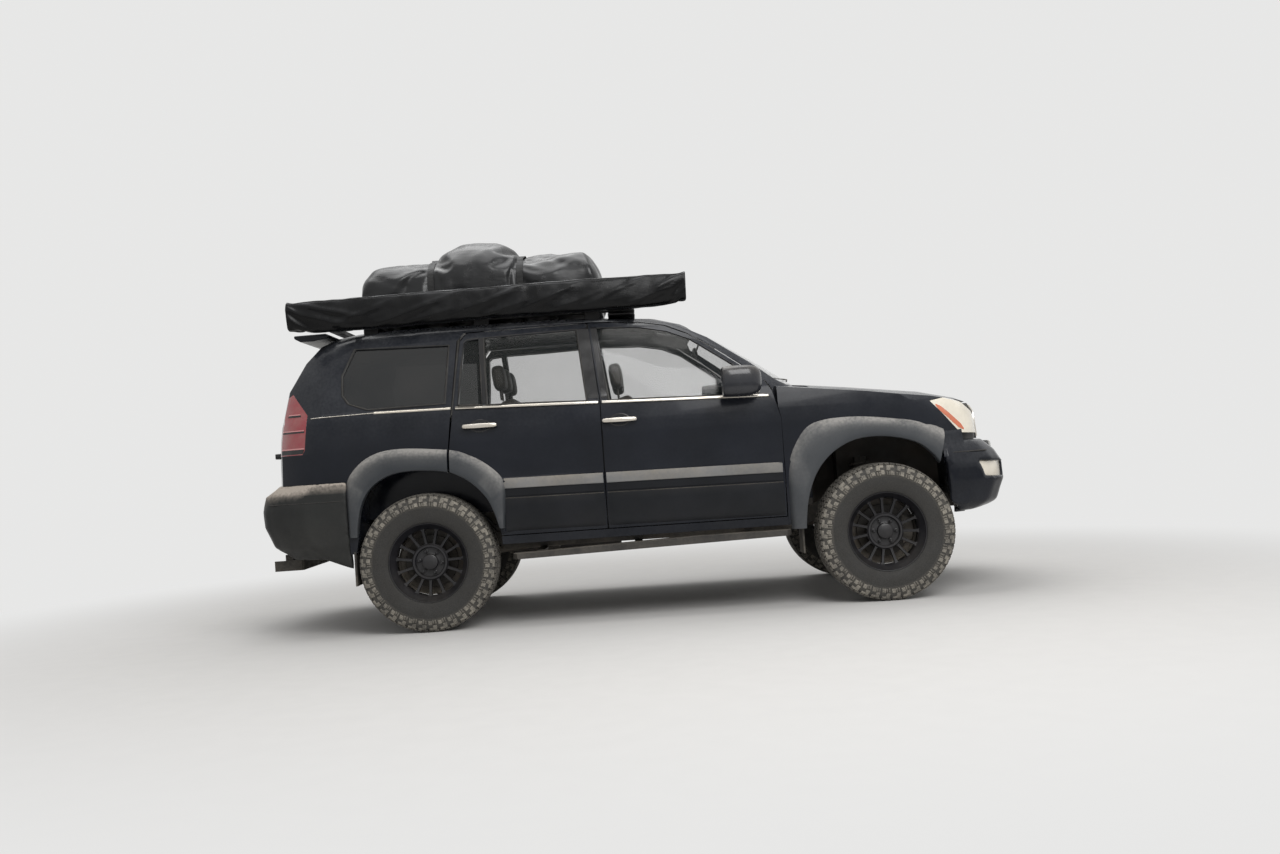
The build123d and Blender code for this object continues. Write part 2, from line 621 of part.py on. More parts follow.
def make_frame():
    """The ladder frame: two rails, the crossmembers between them and the tow hitch."""
    rail_plan = [(2180, 340), (2180, 410), (1120, 410), (930, 520), (-2112, 520), (-2112, 450), (900, 450),
                 (1090, 340)]
    rail_side = [(2180, 520), (2180, 640), (1250, 640), (1050, 556), (-890, 556), (-1010, 682), (-1600, 682),
                 (-1720, 640), (-2112, 640), (-2112, 520), (-1740, 520), (-1620, 576), (-975, 576), (-850, 446),
                 (1040, 446), (1240, 520)]
    rail = plate(rail_plan, "z", 400, 700) & plate(rail_side, "y", 300, 600)
    spring_seat = block(-1345, -1225, 519, 632, 626, 642)
    link_bracket = block(-645, -595, 426, 451, 446, 520)
    write("frame_rails", both_sides(rail + spring_seat + link_bracket))

    crossmembers = (
        # rear x, front x, half width, bottom z, top z
        (2060, 2150, 340, 540, 620),
        (430, 560, 500, 400, 446),
        (-500, -430, 450, 520, 556),
        (-1120, -1050, 450, 600, 670),
        (-1470, -1407, 450, 600, 670),
    )
    write("crossmembers", Compound([block(x0, x1, -half, half, z0, z1) for x0, x1, half, z0, z1 in crossmembers]))

    hitch = block(-2160, -2096, -655, 655, 410, 472) + block(-2386, -2159, -38, 38, 410, 472)
    hitch += both_sides(block(-2112, -2096, 455, 515, 471, 520) + block(-2275, -2105, 654, 663, 410, 474))
    hitch -= block(-2500, -2190, -25.5, 25.5, 415.5, 466.5) + pin((-2330, -60, 441), (-2330, 60, 441), 8)
    write("tow_hitch", hitch)


def make_drive_line():
    """Engine and gearbox as plain blocks, both propeller shafts, exhaust, tank and spare wheel."""
    engine = block(1330, 2010, -300, 300, 535, 1130)
    for y in (-300, 300):
        engine -= block(1300, 2100, y - 30, y + 30, 500, 660)
    gearbox = plate([(1330, 560), (1330, 900), (1130, 860), (1130, 590), (1070, 556), (200, 556), (200, 450),
                     (900, 450)], "y", -150, 150)
    gearbox += block(200, 300, 150, 228, 456, 550)
    gearbox += rod((-1126, 0, 430), (200, 0, 458), 32) + rod((300, 190, 490), (1398, 190, 440), 28)
    write("engine_block", engine)
    write("gearbox_and_shafts", gearbox)

    route = [(900, -240, 480), (-860, -240, 480), (-1000, -240, 530), (-1410, -240, 530), (-1560, -405, 506),
             (-2100, -405, 506)]
    pipe = sweep(Plane(origin=route[0], z_dir=(-1, 0, 0)) * RegularPolygon(27, 8), path=Polyline(*route),
                 transition=Transition.RIGHT)
    write("exhaust", pipe + rod((-520, -240, 480), (-860, -240, 480), 72))

    tank = [(80, 372), (365, 372), (365, 496), (80, 496)]
    write("fuel_tank", plate(soften(tank, {0: 45, 1: 45, 2: 30, 3: 30}, 2), "x", -860, -120))
    spare = turned([(-95, 300), (-50, 335), (50, 335), (95, 300)], 20) - turned([(-65, 205), (96, 205)], 20)
    spare = Pos(-1815, 0, 568) * Rot(90, 0, 0) * spare + rod((-1815, 0, 490), (-1815, 0, 690), 14)
    write("spare_wheel", spare)


def make_suspension():
    """The live rear axle and the front arms with the differential between them."""
    axle = rod((rear_axle_x, -640, axle_z), (rear_axle_x, 640, axle_z), 45)
    axle += Pos(rear_axle_x, 40, axle_z) * turned([(-120, 60), (-70, 125), (0, 140), (70, 125), (120, 60)], 12)
    axle += rod((rear_axle_x, 0, axle_z), (-1130, 0, 430), 58)
    for y in (-1, 1):
        axle += rod((rear_axle_x, y * 640, axle_z), (rear_axle_x, y * 700, axle_z), 78)
        axle += rod((rear_axle_x, y * 699, axle_z), (rear_axle_x, y * (wheel_mid_y + 1), axle_z), 62)
        axle += rod((rear_axle_x + 20, y * 400, axle_z - 20), (rear_axle_x + 660, y * 400, 470), 25)
        axle += rod((rear_axle_x - 5, y * 578, axle_z + 20), (rear_axle_x - 5, y * 578, 626), 52)
        axle += rod((rear_axle_x - 50, y * 400, axle_z - 24), (rear_axle_x - 100, y * 385, 655), 25)
    write("rear_axle", axle)

    front = rod((front_axle_x, -160, axle_z), (front_axle_x, 230, axle_z), 110)
    low = [(1380, 330), (1640, 330), (1540, 690), (1480, 690)]
    high = [(1400, 411), (1620, 411), (1535, 690), (1485, 690)]
    for y in (-1, 1):
        front += plate([(a, y * b) for a, b in low], "z", 236, 264)
        front += plate([(a, y * b) for a, b in high], "z", 572, 596)
        front += rod((front_axle_x, y * 160, axle_z), (front_axle_x, y * 672, axle_z), 20)
        front += rod((front_axle_x - 72, y * 490, 262), (front_axle_x - 62, y * 468, 880), 46)
    front += block(1380, 1640, -340, 340, 236, 312)
    write("front_suspension", front)


def make_side_steps():
    """Running boards on three brackets a side."""
    board = plate([(-762, 407), (-762, 441), (126, 466), (368, 474), (925, 474), (925, 440), (400, 432)], "y",
                  840, 960)
    board &= plate([(925, 840), (925, 915), (896, 960), (-735, 960), (-762, 915), (-762, 840)], "z", 380, 500)
    for x in (-600, 0, 700):
        board += block(x - 25, x + 25, 522, 842, 432, 448)
        board += block(x - 25, x + 25, 520, 530, 440, 520)
    write("side_steps", both_sides(board))


def make_interior():
    """What shows through the glass."""
    seats = seat(-700, 0, 760, 1080, (-330, 0, 330)) + block(-660, -260, -500, 500, 600, 764)
    for y in (-370, 370):
        seats += seat(60, y, 720, 500, (0,)) + block(100, 480, y - 200, y + 200, 600, 722)
    write("seats", seats)
    dash = plate([(1075, 935), (1070, 1288), (985, 1290), (925, 1318), (700, 1270), (640, 1180), (700, 1020), (860, 900),
                  (900, 840)], "y", -660, 660)
    write("dashboard", dash)
    ring = turned([(-13, 184), (-5, 195), (5, 195), (13, 184)], 14) - turned([(-14, 168), (14, 168)], 14)
    ring += block(-176, 176, -9, 9, -16, 16) + turned([(-20, 60), (20, 52)], 8)
    column = rod((560, 370, 1140), (690, 370, 1070), 34)
    write("steering_wheel", Pos(545, 370, 1150) * Rot(0, -62, 0) * Rot(90, 0, 0) * ring + (column - dash))


def make_wheels():
    """Knuckles, rims and tyres at their places."""
    left = knuckle()
    write("knuckle_left", left)
    write("knuckle_right", mirror(left, about=Plane.XZ))
    one_rim = rim()
    one_tyre = tyre()
    corners = {
        "front_left": (front_axle_x, 1),
        "front_right": (front_axle_x, -1),
        "rear_left": (rear_axle_x, 1),
        "rear_right": (rear_axle_x, -1),
    }
    for name, (x, side) in corners.items():
        for kind, shape in (("rim", one_rim), ("tyre", one_tyre)):
            placed = Pos(x, wheel_mid_y, axle_z) * shape
            if side < 0:
                placed = mirror(placed, about=Plane.XZ)
            write(f"{kind}_{name}", placed)


make_doors()
make_tailgate()
make_fixed_glass()
make_lamps()
make_rear_bumper()
make_grille()
make_bonnet()
front_wings = make_wings(make_front_bumper())
make_flares_and_flaps(make_cabin(front_wings), front_wings)
make_interior()
make_roof_load()
make_frame()
make_drive_line()
make_suspension()
make_side_steps()
make_wheels()
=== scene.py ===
import bpy
import bmesh
import json
import math
import random
from mathutils import Matrix, Vector, noise
from mathutils.bvhtree import BVHTree

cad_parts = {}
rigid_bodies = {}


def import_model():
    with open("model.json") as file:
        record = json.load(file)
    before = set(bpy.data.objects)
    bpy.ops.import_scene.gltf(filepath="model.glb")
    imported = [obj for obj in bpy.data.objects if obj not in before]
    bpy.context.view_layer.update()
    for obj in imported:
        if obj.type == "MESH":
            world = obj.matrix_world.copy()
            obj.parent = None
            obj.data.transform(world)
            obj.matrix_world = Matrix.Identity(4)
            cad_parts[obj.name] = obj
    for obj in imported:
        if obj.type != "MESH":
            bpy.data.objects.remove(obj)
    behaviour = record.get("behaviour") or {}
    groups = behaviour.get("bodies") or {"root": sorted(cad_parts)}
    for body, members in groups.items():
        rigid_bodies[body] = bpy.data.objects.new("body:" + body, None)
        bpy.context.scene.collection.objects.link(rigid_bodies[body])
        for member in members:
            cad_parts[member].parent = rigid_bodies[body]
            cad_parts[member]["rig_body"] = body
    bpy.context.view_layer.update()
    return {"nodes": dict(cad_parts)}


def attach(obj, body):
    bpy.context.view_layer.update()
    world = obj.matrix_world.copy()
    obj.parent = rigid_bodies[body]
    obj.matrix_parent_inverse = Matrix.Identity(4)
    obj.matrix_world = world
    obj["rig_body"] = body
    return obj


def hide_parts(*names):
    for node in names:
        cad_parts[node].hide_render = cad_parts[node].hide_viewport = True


# A lifted four by four with a roof tent and an awning, dressed over its CAD frame. Metres, +X forward, +Z up.
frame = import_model()
nodes = frame["nodes"]
# Each wheel: x of its axle, side, and how far its rim is turned
wheels = {
    "front_left": (1.510, 1, 0.3),
    "front_right": (1.510, -1, 1.1),
    "rear_left": (-1.280, 1, 2.0),
    "rear_right": (-1.280, -1, 0.15),
}
wheelMidY = 0.787
axleZ = 0.419
print("frame loaded:", len(nodes), "nodes")


# Node helpers

def setInputs(tree, node, values):
    # Each input takes a link from another socket, or a plain value
    for key, value in values.items():
        if isinstance(value, bpy.types.NodeSocket):
            tree.links.new(value, node.inputs[key])
        else:
            node.inputs[key].default_value = value


def addNode(tree, kind, inputs=None, **settings):
    node = tree.nodes.new(kind)
    for key, value in settings.items():
        setattr(node, key, value)
    setInputs(tree, node, inputs or {})
    return node


def startMaterial(name):
    # The material with its tree, its shader and the place on the object
    material = bpy.data.materials.new(name)
    material.use_nodes = True
    tree = material.node_tree
    place = addNode(tree, "ShaderNodeTexCoord").outputs["Object"]
    return material, tree, tree.nodes["Principled BSDF"], place


def mapRange(tree, value, low=0.0, high=1.0, toLow=0.0, toHigh=1.0, **settings):
    limits = {"Value": value, "From Min": low, "From Max": high, "To Min": toLow, "To Max": toHigh}
    return addNode(tree, "ShaderNodeMapRange", limits, **settings).outputs["Result"]


def noiseFactor(tree, place, scale, detail=4.0, low=0.35, high=0.65, stretch=(1, 1, 1)):
    spot = addNode(tree, "ShaderNodeMapping", {"Vector": place, "Scale": stretch}).outputs["Vector"]
    pattern = addNode(tree, "ShaderNodeTexNoise", {"Vector": spot, "Scale": scale, "Detail": detail})
    return mapRange(tree, pattern.outputs["Fac"], low, high)


def grainFactor(tree, place, scale, detail):
    return addNode(tree, "ShaderNodeTexNoise",
                   {"Vector": place, "Scale": scale, "Detail": detail}).outputs["Fac"]


def mixColour(tree, factor, first, second):
    mix = addNode(tree, "ShaderNodeMix", {0: factor}, data_type="RGBA")
    for number, value in zip((6, 7), (first, second)):
        setInputs(tree, mix, {number: value if isinstance(value, bpy.types.NodeSocket) else (*value, 1.0)})
    return [socket for socket in mix.outputs if socket.type == "RGBA"][0]


def combine(tree, operation, first, second, clamp=False):
    return addNode(tree, "ShaderNodeMath", {0: first, 1: second}, operation=operation,
                   use_clamp=clamp).outputs[0]


def times(tree, first, second, clamp=False):
    return combine(tree, "MULTIPLY", first, second, clamp)


def plus(tree, first, second, clamp=False):
    return combine(tree, "ADD", first, second, clamp)


def heightRamp(tree, place, low, high):
    return mapRange(tree, addNode(tree, "ShaderNodeSeparateXYZ", {"Vector": place}).outputs["Z"], low, high)


def faceUp(tree):
    # How far a face looks up, from -1 to 1
    normal = addNode(tree, "ShaderNodeNewGeometry").outputs["Normal"]
    return addNode(tree, "ShaderNodeSeparateXYZ", {"Vector": normal}).outputs["Z"]


def addBump(tree, shader, height, strength, distance):
    bump = addNode(tree, "ShaderNodeBump", {"Height": height, "Strength": strength, "Distance": distance})
    setInputs(tree, shader, {"Normal": bump.outputs["Normal"]})


# Each finish: two tones of one colour, lowest and highest roughness, then dust on upward faces (on the
# paint, flares, cladding band and mirror shells partly a painted sky sheen), dust from below and how high
# that rises, then scale and strength of the grain, and last what differs from the usual
dustColour = (0.30, 0.265, 0.215)
finishes = {
    # bodyPaint's bluish grey on upward faces is dust with a painted sky reflection
    "bodyPaint": ((0.0042, 0.0056, 0.0095), (0.0068, 0.0086, 0.0140), (0.13, 0.22), (0.42, 0.11, 0.95),
                  (900.0, 0.015), {"coat": 0.14, "spec": 0.16, "dust": (0.200, 0.205, 0.215)}),
    "bumperPlastic": ((0.014, 0.015, 0.015), (0.024, 0.025, 0.024), (0.42, 0.60), (2.6, 0.05, 0.95),
                      (700.0, 0.08),
                      {"dust": (0.42, 0.37, 0.32), "spec": 0.25, "dustFrom": 0.16, "shelf": (0.872, 0.925)}),
    "blackPlastic": ((0.010, 0.010, 0.011), (0.018, 0.018, 0.018), (0.45, 0.62), (0.35, 0.30, 0.80),
                     (800.0, 0.10), {}),
    "frameBlack": ((0.012, 0.012, 0.012), (0.022, 0.020, 0.018), (0.5, 0.75), (0.55, 0.45, 0.80),
                   (300.0, 0.20), {}),
    "rackBlack": ((0.008, 0.008, 0.009), (0.014, 0.014, 0.014), (0.36, 0.55), (0.25, 0.0, 0.5),
                  (600.0, 0.12), {}),
    "castDark": ((0.045, 0.043, 0.040), (0.075, 0.062, 0.050), (0.55, 0.8), (0.5, 0.45, 0.7), (220.0, 0.35),
                 {}),
    "dashPlastic": ((0.016, 0.015, 0.014), (0.024, 0.022, 0.020), (0.5, 0.7), (0.12, 0.0, 0.5),
                    (900.0, 0.15), {}),
    "seatCover": ((0.040, 0.034, 0.028), (0.060, 0.050, 0.040), (0.45, 0.65), (0.05, 0.0, 0.5),
                  (420.0, 0.22), {}),
    "flapRubber": ((0.012, 0.012, 0.012), (0.020, 0.019, 0.018), (0.6, 0.8), (0.4, 0.55, 0.65),
                   (260.0, 0.15), {}),
    "brightTrim": ((0.62, 0.57, 0.49), (0.70, 0.66, 0.60), (0.14, 0.30), (0.1, 0.1, 0.9), (500.0, 0.03),
                   {"coat": 0.2, "metal": 0.85}),
    "steel": ((0.30, 0.28, 0.26), (0.20, 0.18, 0.16), (0.3, 0.5), (0.3, 0.4, 0.7), (400.0, 0.10),
              {"metal": 1.0}),
    "rimBlack": ((0.006, 0.006, 0.008), (0.010, 0.010, 0.013), (0.34, 0.5), (0.06, 0.06, 0.6), (500.0, 0.08),
                 {"coat": 0.15}),
    "gritSteel": ((0.035, 0.034, 0.033), (0.022, 0.020, 0.018), (0.4, 0.6), (0.0, 0.08, 0.7), (300.0, 0.15),
                  {"metal": 1.0}),
    # The cladding band's light grey is dust with a painted sky reflection on its sloped top
    "dustedBand": ((0.150, 0.155, 0.160), (0.105, 0.108, 0.110), (0.42, 0.62), (1.2, 0.55, 1.30),
                   (500.0, 0.06), {}),
    # On the flares' tops the upward dust is also a painted sky highlight
    "flarePlastic": ((0.026, 0.030, 0.035), (0.040, 0.044, 0.049), (0.36, 0.55), (2.6, 0.18, 0.90),
                     (600.0, 0.08), {"dust": (0.275, 0.265, 0.250)}),
    "lowCladding": ((0.007, 0.008, 0.010), (0.011, 0.012, 0.015), (0.28, 0.42), (0.6, 0.07, 0.72),
                    (600.0, 0.04), {"spec": 0.20}),
    "glossBlack": ((0.004, 0.004, 0.005), (0.007, 0.007, 0.008), (0.08, 0.16), (0.05, 0.0, 0.5),
                   (700.0, 0.01), {"coat": 0.2}),
    "sealRubber": ((0.006, 0.006, 0.006), (0.011, 0.011, 0.011), (0.5, 0.7), (0.25, 0.1, 0.9),
                   (500.0, 0.05), {}),
    # The mirror shells' upward dust is also their painted top highlight
    "mirrorShell": ((0.012, 0.013, 0.017), (0.020, 0.021, 0.026), (0.18, 0.30), (0.45, 0.0, 0.5),
                    (700.0, 0.03), {"coat": 0.3}),
    "plateBlank": ((0.42, 0.42, 0.41), (0.34, 0.34, 0.33), (0.35, 0.5), (0.4, 0.4, 1.2), (400.0, 0.05),
                   {"coat": 0.1}),
    "mirrorGlass": ((0.75, 0.77, 0.78), (0.68, 0.70, 0.72), (0.03, 0.08), (0.05, 0.0, 0.5), (300.0, 0.0),
                    {"metal": 1.0}),
}


def makeFinish(name, base, shade, rough, dusts, grain, more):
    material, tree, shader, place = startMaterial(name)
    dustAndSheenUp, dustLow, dustTop = dusts
    tone = mixColour(tree, noiseFactor(tree, place, 3.0), base, shade)
    # Upward faces get dust; on the body paint, flares, cladding band and mirror shells that pale tone is also
    # a painted sky sheen, while the dust from below is dirt
    facing = combine(tree, "MAXIMUM", combine(tree, "SUBTRACT", faceUp(tree), more.get("dustFrom", 0.0)), 0.0)
    upward = times(tree, facing, dustAndSheenUp)
    low = times(tree, heightRamp(tree, place, dustTop, 0.25), dustLow)
    if "shelf" in more:
        low = plus(tree, low, times(tree, heightRamp(tree, place, *more["shelf"]), 1.3))
    patches = noiseFactor(tree, place, 5.0, 7.0, 0.30, 0.72)
    speckle = noiseFactor(tree, place, 60.0, 5.0, 0.25, 0.80)
    broken = plus(tree, times(tree, patches, 0.6), times(tree, speckle, 0.5))
    dust = times(tree, plus(tree, upward, low), broken, True)
    colour = mixColour(tree, dust, tone, more.get("dust", dustColour))
    roughness = mapRange(tree, noiseFactor(tree, place, 14.0), 0.0, 1.0, *rough)
    setInputs(tree, shader, {
        "Base Color": colour, "Roughness": plus(tree, roughness, times(tree, dust, 0.45), True),
        "Metallic": more.get("metal", 0.0), "Coat Weight": more.get("coat", 0.0), "Coat Roughness": 0.06,
        "Specular IOR Level": more.get("spec", 0.4)})
    addBump(tree, shader, grainFactor(tree, place, grain[0], 2.0), grain[1], 0.001)
    return material


finish = {name: makeFinish(name, *row) for name, row in finishes.items()}
print("finishes made:", len(finish))


# Special finishes

def makeGlass(name, colour, clearness):
    # Window glass: see-through with a plain mirror sheen
    material, tree, shader, place = startMaterial(name)
    dusty = times(tree, noiseFactor(tree, place, 2.2, 3.0, 0.30, 0.85), 0.07)
    setInputs(tree, shader, {
        "Base Color": mixColour(tree, dusty, colour, dustColour), "Roughness": 0.03, "Coat Weight": 0.3,
        "Alpha": plus(tree, times(tree, dusty, 0.5), 1.0 - clearness, True)})
    return material


def makeTyreRubber():
    # The dust attribute is 1 on the lugs' faces and 0 on the smooth band
    material, tree, shader, place = startMaterial("tyreRubber")
    marked = addNode(tree, "ShaderNodeAttribute", attribute_name="dust").outputs["Fac"]
    cloud = noiseFactor(tree, place, 11.0, 8.0, 0.30, 0.70)
    fine = noiseFactor(tree, place, 160.0, 6.0, 0.30, 0.75)
    wear = plus(tree, times(tree, cloud, 0.45), times(tree, fine, 0.55))
    amount = times(tree, wear, marked, True)
    rubber = mixColour(tree, fine, (0.017, 0.0165, 0.016), (0.028, 0.027, 0.025))
    setInputs(tree, shader, {"Base Color": mixColour(tree, amount, rubber, (0.42, 0.385, 0.325)),
                             "Roughness": mapRange(tree, cloud, 0.0, 1.0, 0.72, 0.92)})
    addBump(tree, shader, fine, 0.35, 0.0015)
    return material


def makeVinyl(name, base, sheen, creaseScale, dustAndSheenUp, shine=0.36):
    # Coated cloth with fine wrinkles, a weave under the coating, and dust on top that is also a painted sky
    # sheen
    material, tree, shader, place = startMaterial(name)
    tone = mixColour(tree, noiseFactor(tree, place, 4.0), base, tuple(1.7 * part for part in base))
    # Faces that look up get a pale bluish grey: dust and a painted sky reflection
    level = combine(tree, "POWER", combine(tree, "MAXIMUM", faceUp(tree), 0.0), 3.0)
    dust = times(tree, level, times(tree, noiseFactor(tree, place, 6.0, 8.0, 0.35, 0.75), dustAndSheenUp), True)
    colour = mixColour(tree, dust, tone, (0.205, 0.208, 0.218))
    setInputs(tree, shader, {
        "Base Color": colour, "Coat Weight": 0.3 * shine, "Coat Roughness": 0.12, "Specular IOR Level": shine,
        "Roughness": mapRange(tree, noiseFactor(tree, place, 12.0, 5.0), 0.0, 1.0, sheen, sheen + 0.2)})
    creases = noiseFactor(tree, place, creaseScale, 6.0, 0.2, 0.8, (0.35, 1.0, 1.0))
    weave = grainFactor(tree, place, 1500.0, 1.0)
    addBump(tree, shader, plus(tree, creases, times(tree, weave, 0.04)), 0.5, 0.006)
    return material


def makeLens(name, colour, shade, roughness, scale):
    # Moulded lamp plastic with fine ribs
    material, tree, shader, place = startMaterial(name)
    ribs = addNode(tree, "ShaderNodeTexWave",
                   {"Vector": place, "Scale": scale, "Distortion": 0.4}).outputs["Fac"]
    tone = mixColour(tree, times(tree, ribs, 0.6), colour, shade)
    dusty = times(tree, noiseFactor(tree, place, 12.0, 8.0, 0.4, 0.8), 0.25)
    setInputs(tree, shader, {"Base Color": mixColour(tree, dusty, tone, dustColour), "Roughness": roughness,
                             "Coat Weight": 0.8, "Coat Roughness": 0.05})
    addBump(tree, shader, ribs, 0.2, 0.001)
    return material


clearGlass = makeGlass("clearGlass", (0.03, 0.036, 0.036), 0.86)
tintedGlass = makeGlass("tintedGlass", (0.006, 0.008, 0.010), 0.25)
tyreRubber = makeTyreRubber()
# The pale upward tone of the tent and awning is dust and painted sky sheen, strongest on the awning's top
# strip
tentVinyl = makeVinyl("tentVinyl", (0.0045, 0.0048, 0.0055), 0.24, 16.0, 0.30)
awningVinyl = makeVinyl("awningVinyl", (0.0016, 0.0017, 0.002), 0.20, 13.0, 1.10, 0.20)
strapWeb = makeVinyl("strapWeb", (0.010, 0.010, 0.010), 0.6, 60.0, 0.4)
redLens = makeLens("redLens", (0.30, 0.012, 0.022), (0.18, 0.006, 0.012), 0.22, 60.0)
pinkLens = makeLens("pinkLens", (0.62, 0.26, 0.26), (0.50, 0.16, 0.17), 0.22, 60.0)
amberLens = makeLens("amberLens", (0.66, 0.17, 0.075), (0.52, 0.11, 0.045), 0.22, 50.0)
lampCream = makeLens("lampCream", (0.86, 0.80, 0.68), (0.72, 0.66, 0.55), 0.16, 35.0)


# Mesh helpers: a part is a list of vertices and a list of faces

def makePiece(name, part, material, body, angle=35.0):
    mesh = bpy.data.meshes.new(name)
    mesh.from_pydata([tuple(vertex) for vertex in part[0]], [], part[1])
    mesh.validate()
    mesh.update()
    return finishPiece(name, mesh, material, body, angle)


def finishPiece(name, mesh, material, body, angle):
    piece = bpy.data.objects.new(name, mesh)
    bpy.context.scene.collection.objects.link(piece)
    mesh.materials.clear()
    mesh.materials.append(material)
    smoothByAngle(mesh, angle)
    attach(piece, body)
    return piece


def smoothByAngle(mesh, angle):
    work = bmesh.new()
    work.from_mesh(mesh)
    for face in work.faces:
        face.smooth = True
    for edge in work.edges:
        edge.smooth = len(edge.link_faces) == 2 and edge.calc_face_angle(0.0) < math.radians(angle)
    work.to_mesh(mesh)
    work.free()


def addModifier(piece, kind, **settings):
    modifier = piece.modifiers.new(kind.title(), kind)
    for key, value in settings.items():
        setattr(modifier, key, value)


def openNode(name):
    work = bmesh.new()
    work.from_mesh(nodes[name].data)
    bmesh.ops.remove_doubles(work, verts=work.verts, dist=0.00002)
    return work


def replaceNode(name, work, material, angle):
    mesh = bpy.data.meshes.new(name + "Dressed")
    work.to_mesh(mesh)
    work.free()
    piece = finishPiece(name + "_dressed", mesh, material, nodes[name]["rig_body"], angle)
    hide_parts(name)
    return piece


def dressNode(name, material, bevel, angle=32.0):
    # The CAD shape with its corners rounded and its bands shaded smooth
    work = openNode(name)
    bmesh.ops.dissolve_limit(work, angle_limit=math.radians(0.6), verts=work.verts, edges=work.edges)
    piece = replaceNode(name, work, material, angle)
    if bevel:
        addModifier(piece, "BEVEL", width=bevel, segments=2, limit_method="ANGLE",
                    angle_limit=math.radians(angle), use_clamp_overlap=True)
        addModifier(piece, "WEIGHTED_NORMAL", keep_sharp=True)


def softenNode(name, material, longest=0.032, rounds=14):
    # The CAD shape with its facets melted into each other; pulls in and out by turns keep its size
    work = openNode(name)
    for _ in range(8):
        edges = [edge for edge in work.edges if edge.calc_length() > longest]
        if not edges:
            break
        bmesh.ops.subdivide_edges(work, edges=edges, cuts=1)
        bmesh.ops.triangulate(work, faces=[face for face in work.faces if len(face.verts) > 3])
    for pull in (0.50, -0.52) * rounds:
        means = [sum((edge.other_vert(vertex).co for edge in vertex.link_edges), Vector())
                 / len(vertex.link_edges) for vertex in work.verts]
        for vertex, mean in zip(work.verts, means):
            vertex.co += pull * (mean - vertex.co)
    replaceNode(name, work, material, 70.0)


def paintNode(name, material):
    # A CAD node whose shape is right keeps it and gets a finish
    mesh = nodes[name].data
    mesh.materials.clear()
    mesh.materials.append(material)
    for polygon in mesh.polygons:
        polygon.use_smooth = False


def turns(count):
    return [2 * math.pi * k / count for k in range(count)]


def spread(start, end, count):
    # Even spots from start to end, both included
    return [start + (end - start) * k / count for k in range(count + 1)]


def squared(turn, across, tall):
    # A point of a circle pushed toward a square: a power of 1 is round and one near 0 is square
    pairs = ((math.cos(turn), across), (math.sin(turn), tall))
    return tuple(math.copysign(abs(part) ** power, part) for part, power in pairs)


def spline(four, part):
    # A smooth curve from the second to the third of four rows
    return [0.5 * (2 * q + (r - p) * part + (2 * p - 5 * q + 4 * r - s) * part ** 2
                   + (3 * q - p - 3 * r + s) * part ** 3) for p, q, r, s in zip(*four)]


def smoothRow(rows, spot):
    # Values between the stations of a table
    spot = min(max(spot, 0.0), len(rows) - 1.0001)
    index = int(spot)
    return spline([rows[min(max(index + k, 0), len(rows) - 1)] for k in (-1, 0, 1, 2)], spot - index)


def walkOutline(corners, step, least):
    # Spots along a closed outline, its corners among them
    path = []
    for (x, z), (nextX, nextZ) in zip(corners, corners[1:] + corners[:1]):
        count = max(least, int(math.hypot(nextX - x, nextZ - z) / step))
        path += [(x + (nextX - x) * k / count, z + (nextZ - z) * k / count) for k in range(count)]
    return path


def middleOf(path):
    return [sum(values) / len(path) for values in zip(*path)]


def lathe(profile, segments):
    # Turned about Y; profile rows are (along, radius)
    vertices = [Vector((radius * math.cos(turn), along, radius * math.sin(turn)))
                for turn in turns(segments) for along, radius in profile]
    count = len(profile)
    faces = []
    for step in range(segments):
        near, far = step * count, ((step + 1) % segments) * count
        faces += [(near + k, near + k + 1, far + k + 1, far + k) for k in range(count - 1)]
    return vertices, faces


def boxBetween(corners, low, high):
    # A prism from a flat outline; low and high turn each corner into a spot of the lower and upper face
    count = len(corners)
    vertices = [low(*corner) for corner in corners] + [high(*corner) for corner in corners]
    faces = [tuple(range(count - 1, -1, -1)), tuple(range(count, 2 * count))]
    faces += [(k, (k + 1) % count, count + (k + 1) % count, count + k) for k in range(count)]
    return vertices, faces


def joinParts(parts):
    vertices = []
    faces = []
    for partVertices, partFaces in parts:
        offset = len(vertices)
        vertices += partVertices
        faces += [tuple(index + offset for index in face) for face in partFaces]
    return vertices, faces


def movedPart(part, matrix):
    flip = matrix.determinant() < 0
    faces = [tuple(reversed(face)) for face in part[1]] if flip else part[1]
    return [matrix @ Vector(vertex) for vertex in part[0]], faces


def mirrorY(part):
    return movedPart(part, Matrix.Scale(-1, 4, Vector((0, 1, 0))))


def loftRings(rings, closed=True, capped=True):
    count = len(rings[0])
    vertices = [Vector(vertex) for ring in rings for vertex in ring]
    faces = []
    for row in range(len(rings) - 1):
        near, far = row * count, (row + 1) * count
        faces += [(near + k, near + (k + 1) % count, far + (k + 1) % count, far + k)
                  for k in range(count if closed else count - 1)]
    if capped:
        faces += [tuple(range(count - 1, -1, -1)), tuple((len(rings) - 1) * count + k for k in range(count))]
    return vertices, faces


def openLoft(rings):
    return loftRings(rings, False, False)


def tubeAlong(points, radius, sides=8):
    rings = []
    for index, point in enumerate(points):
        before = Vector(points[max(index - 1, 0)])
        after = Vector(points[min(index + 1, len(points) - 1)])
        along = (after - before).normalized()
        across = along.cross(Vector((0.13, 0.21, 0.97))).normalized()
        rise = across.cross(along)
        rings.append([Vector(point) + radius * (math.cos(turn) * across + math.sin(turn) * rise)
                      for turn in turns(sides)])
    return loftRings(rings)


def skinTree(names):
    work = bmesh.new()
    for name in names:
        work.from_mesh(bpy.data.objects[name].data)
    tree = BVHTree.FromBMesh(work)
    work.free()
    return tree


def castOn(tree, start, towards):
    # Where a straight line from the start meets the skin, or None
    return tree.ray_cast(Vector(start), Vector(towards))[0]


rightSkin = skinTree(["body_sides", "door_front_right", "door_rear_right", "front_wings", "roof_panel"])
lampTree = skinTree(["headlamps"])
tailTree = skinTree(["tail_lamps"])


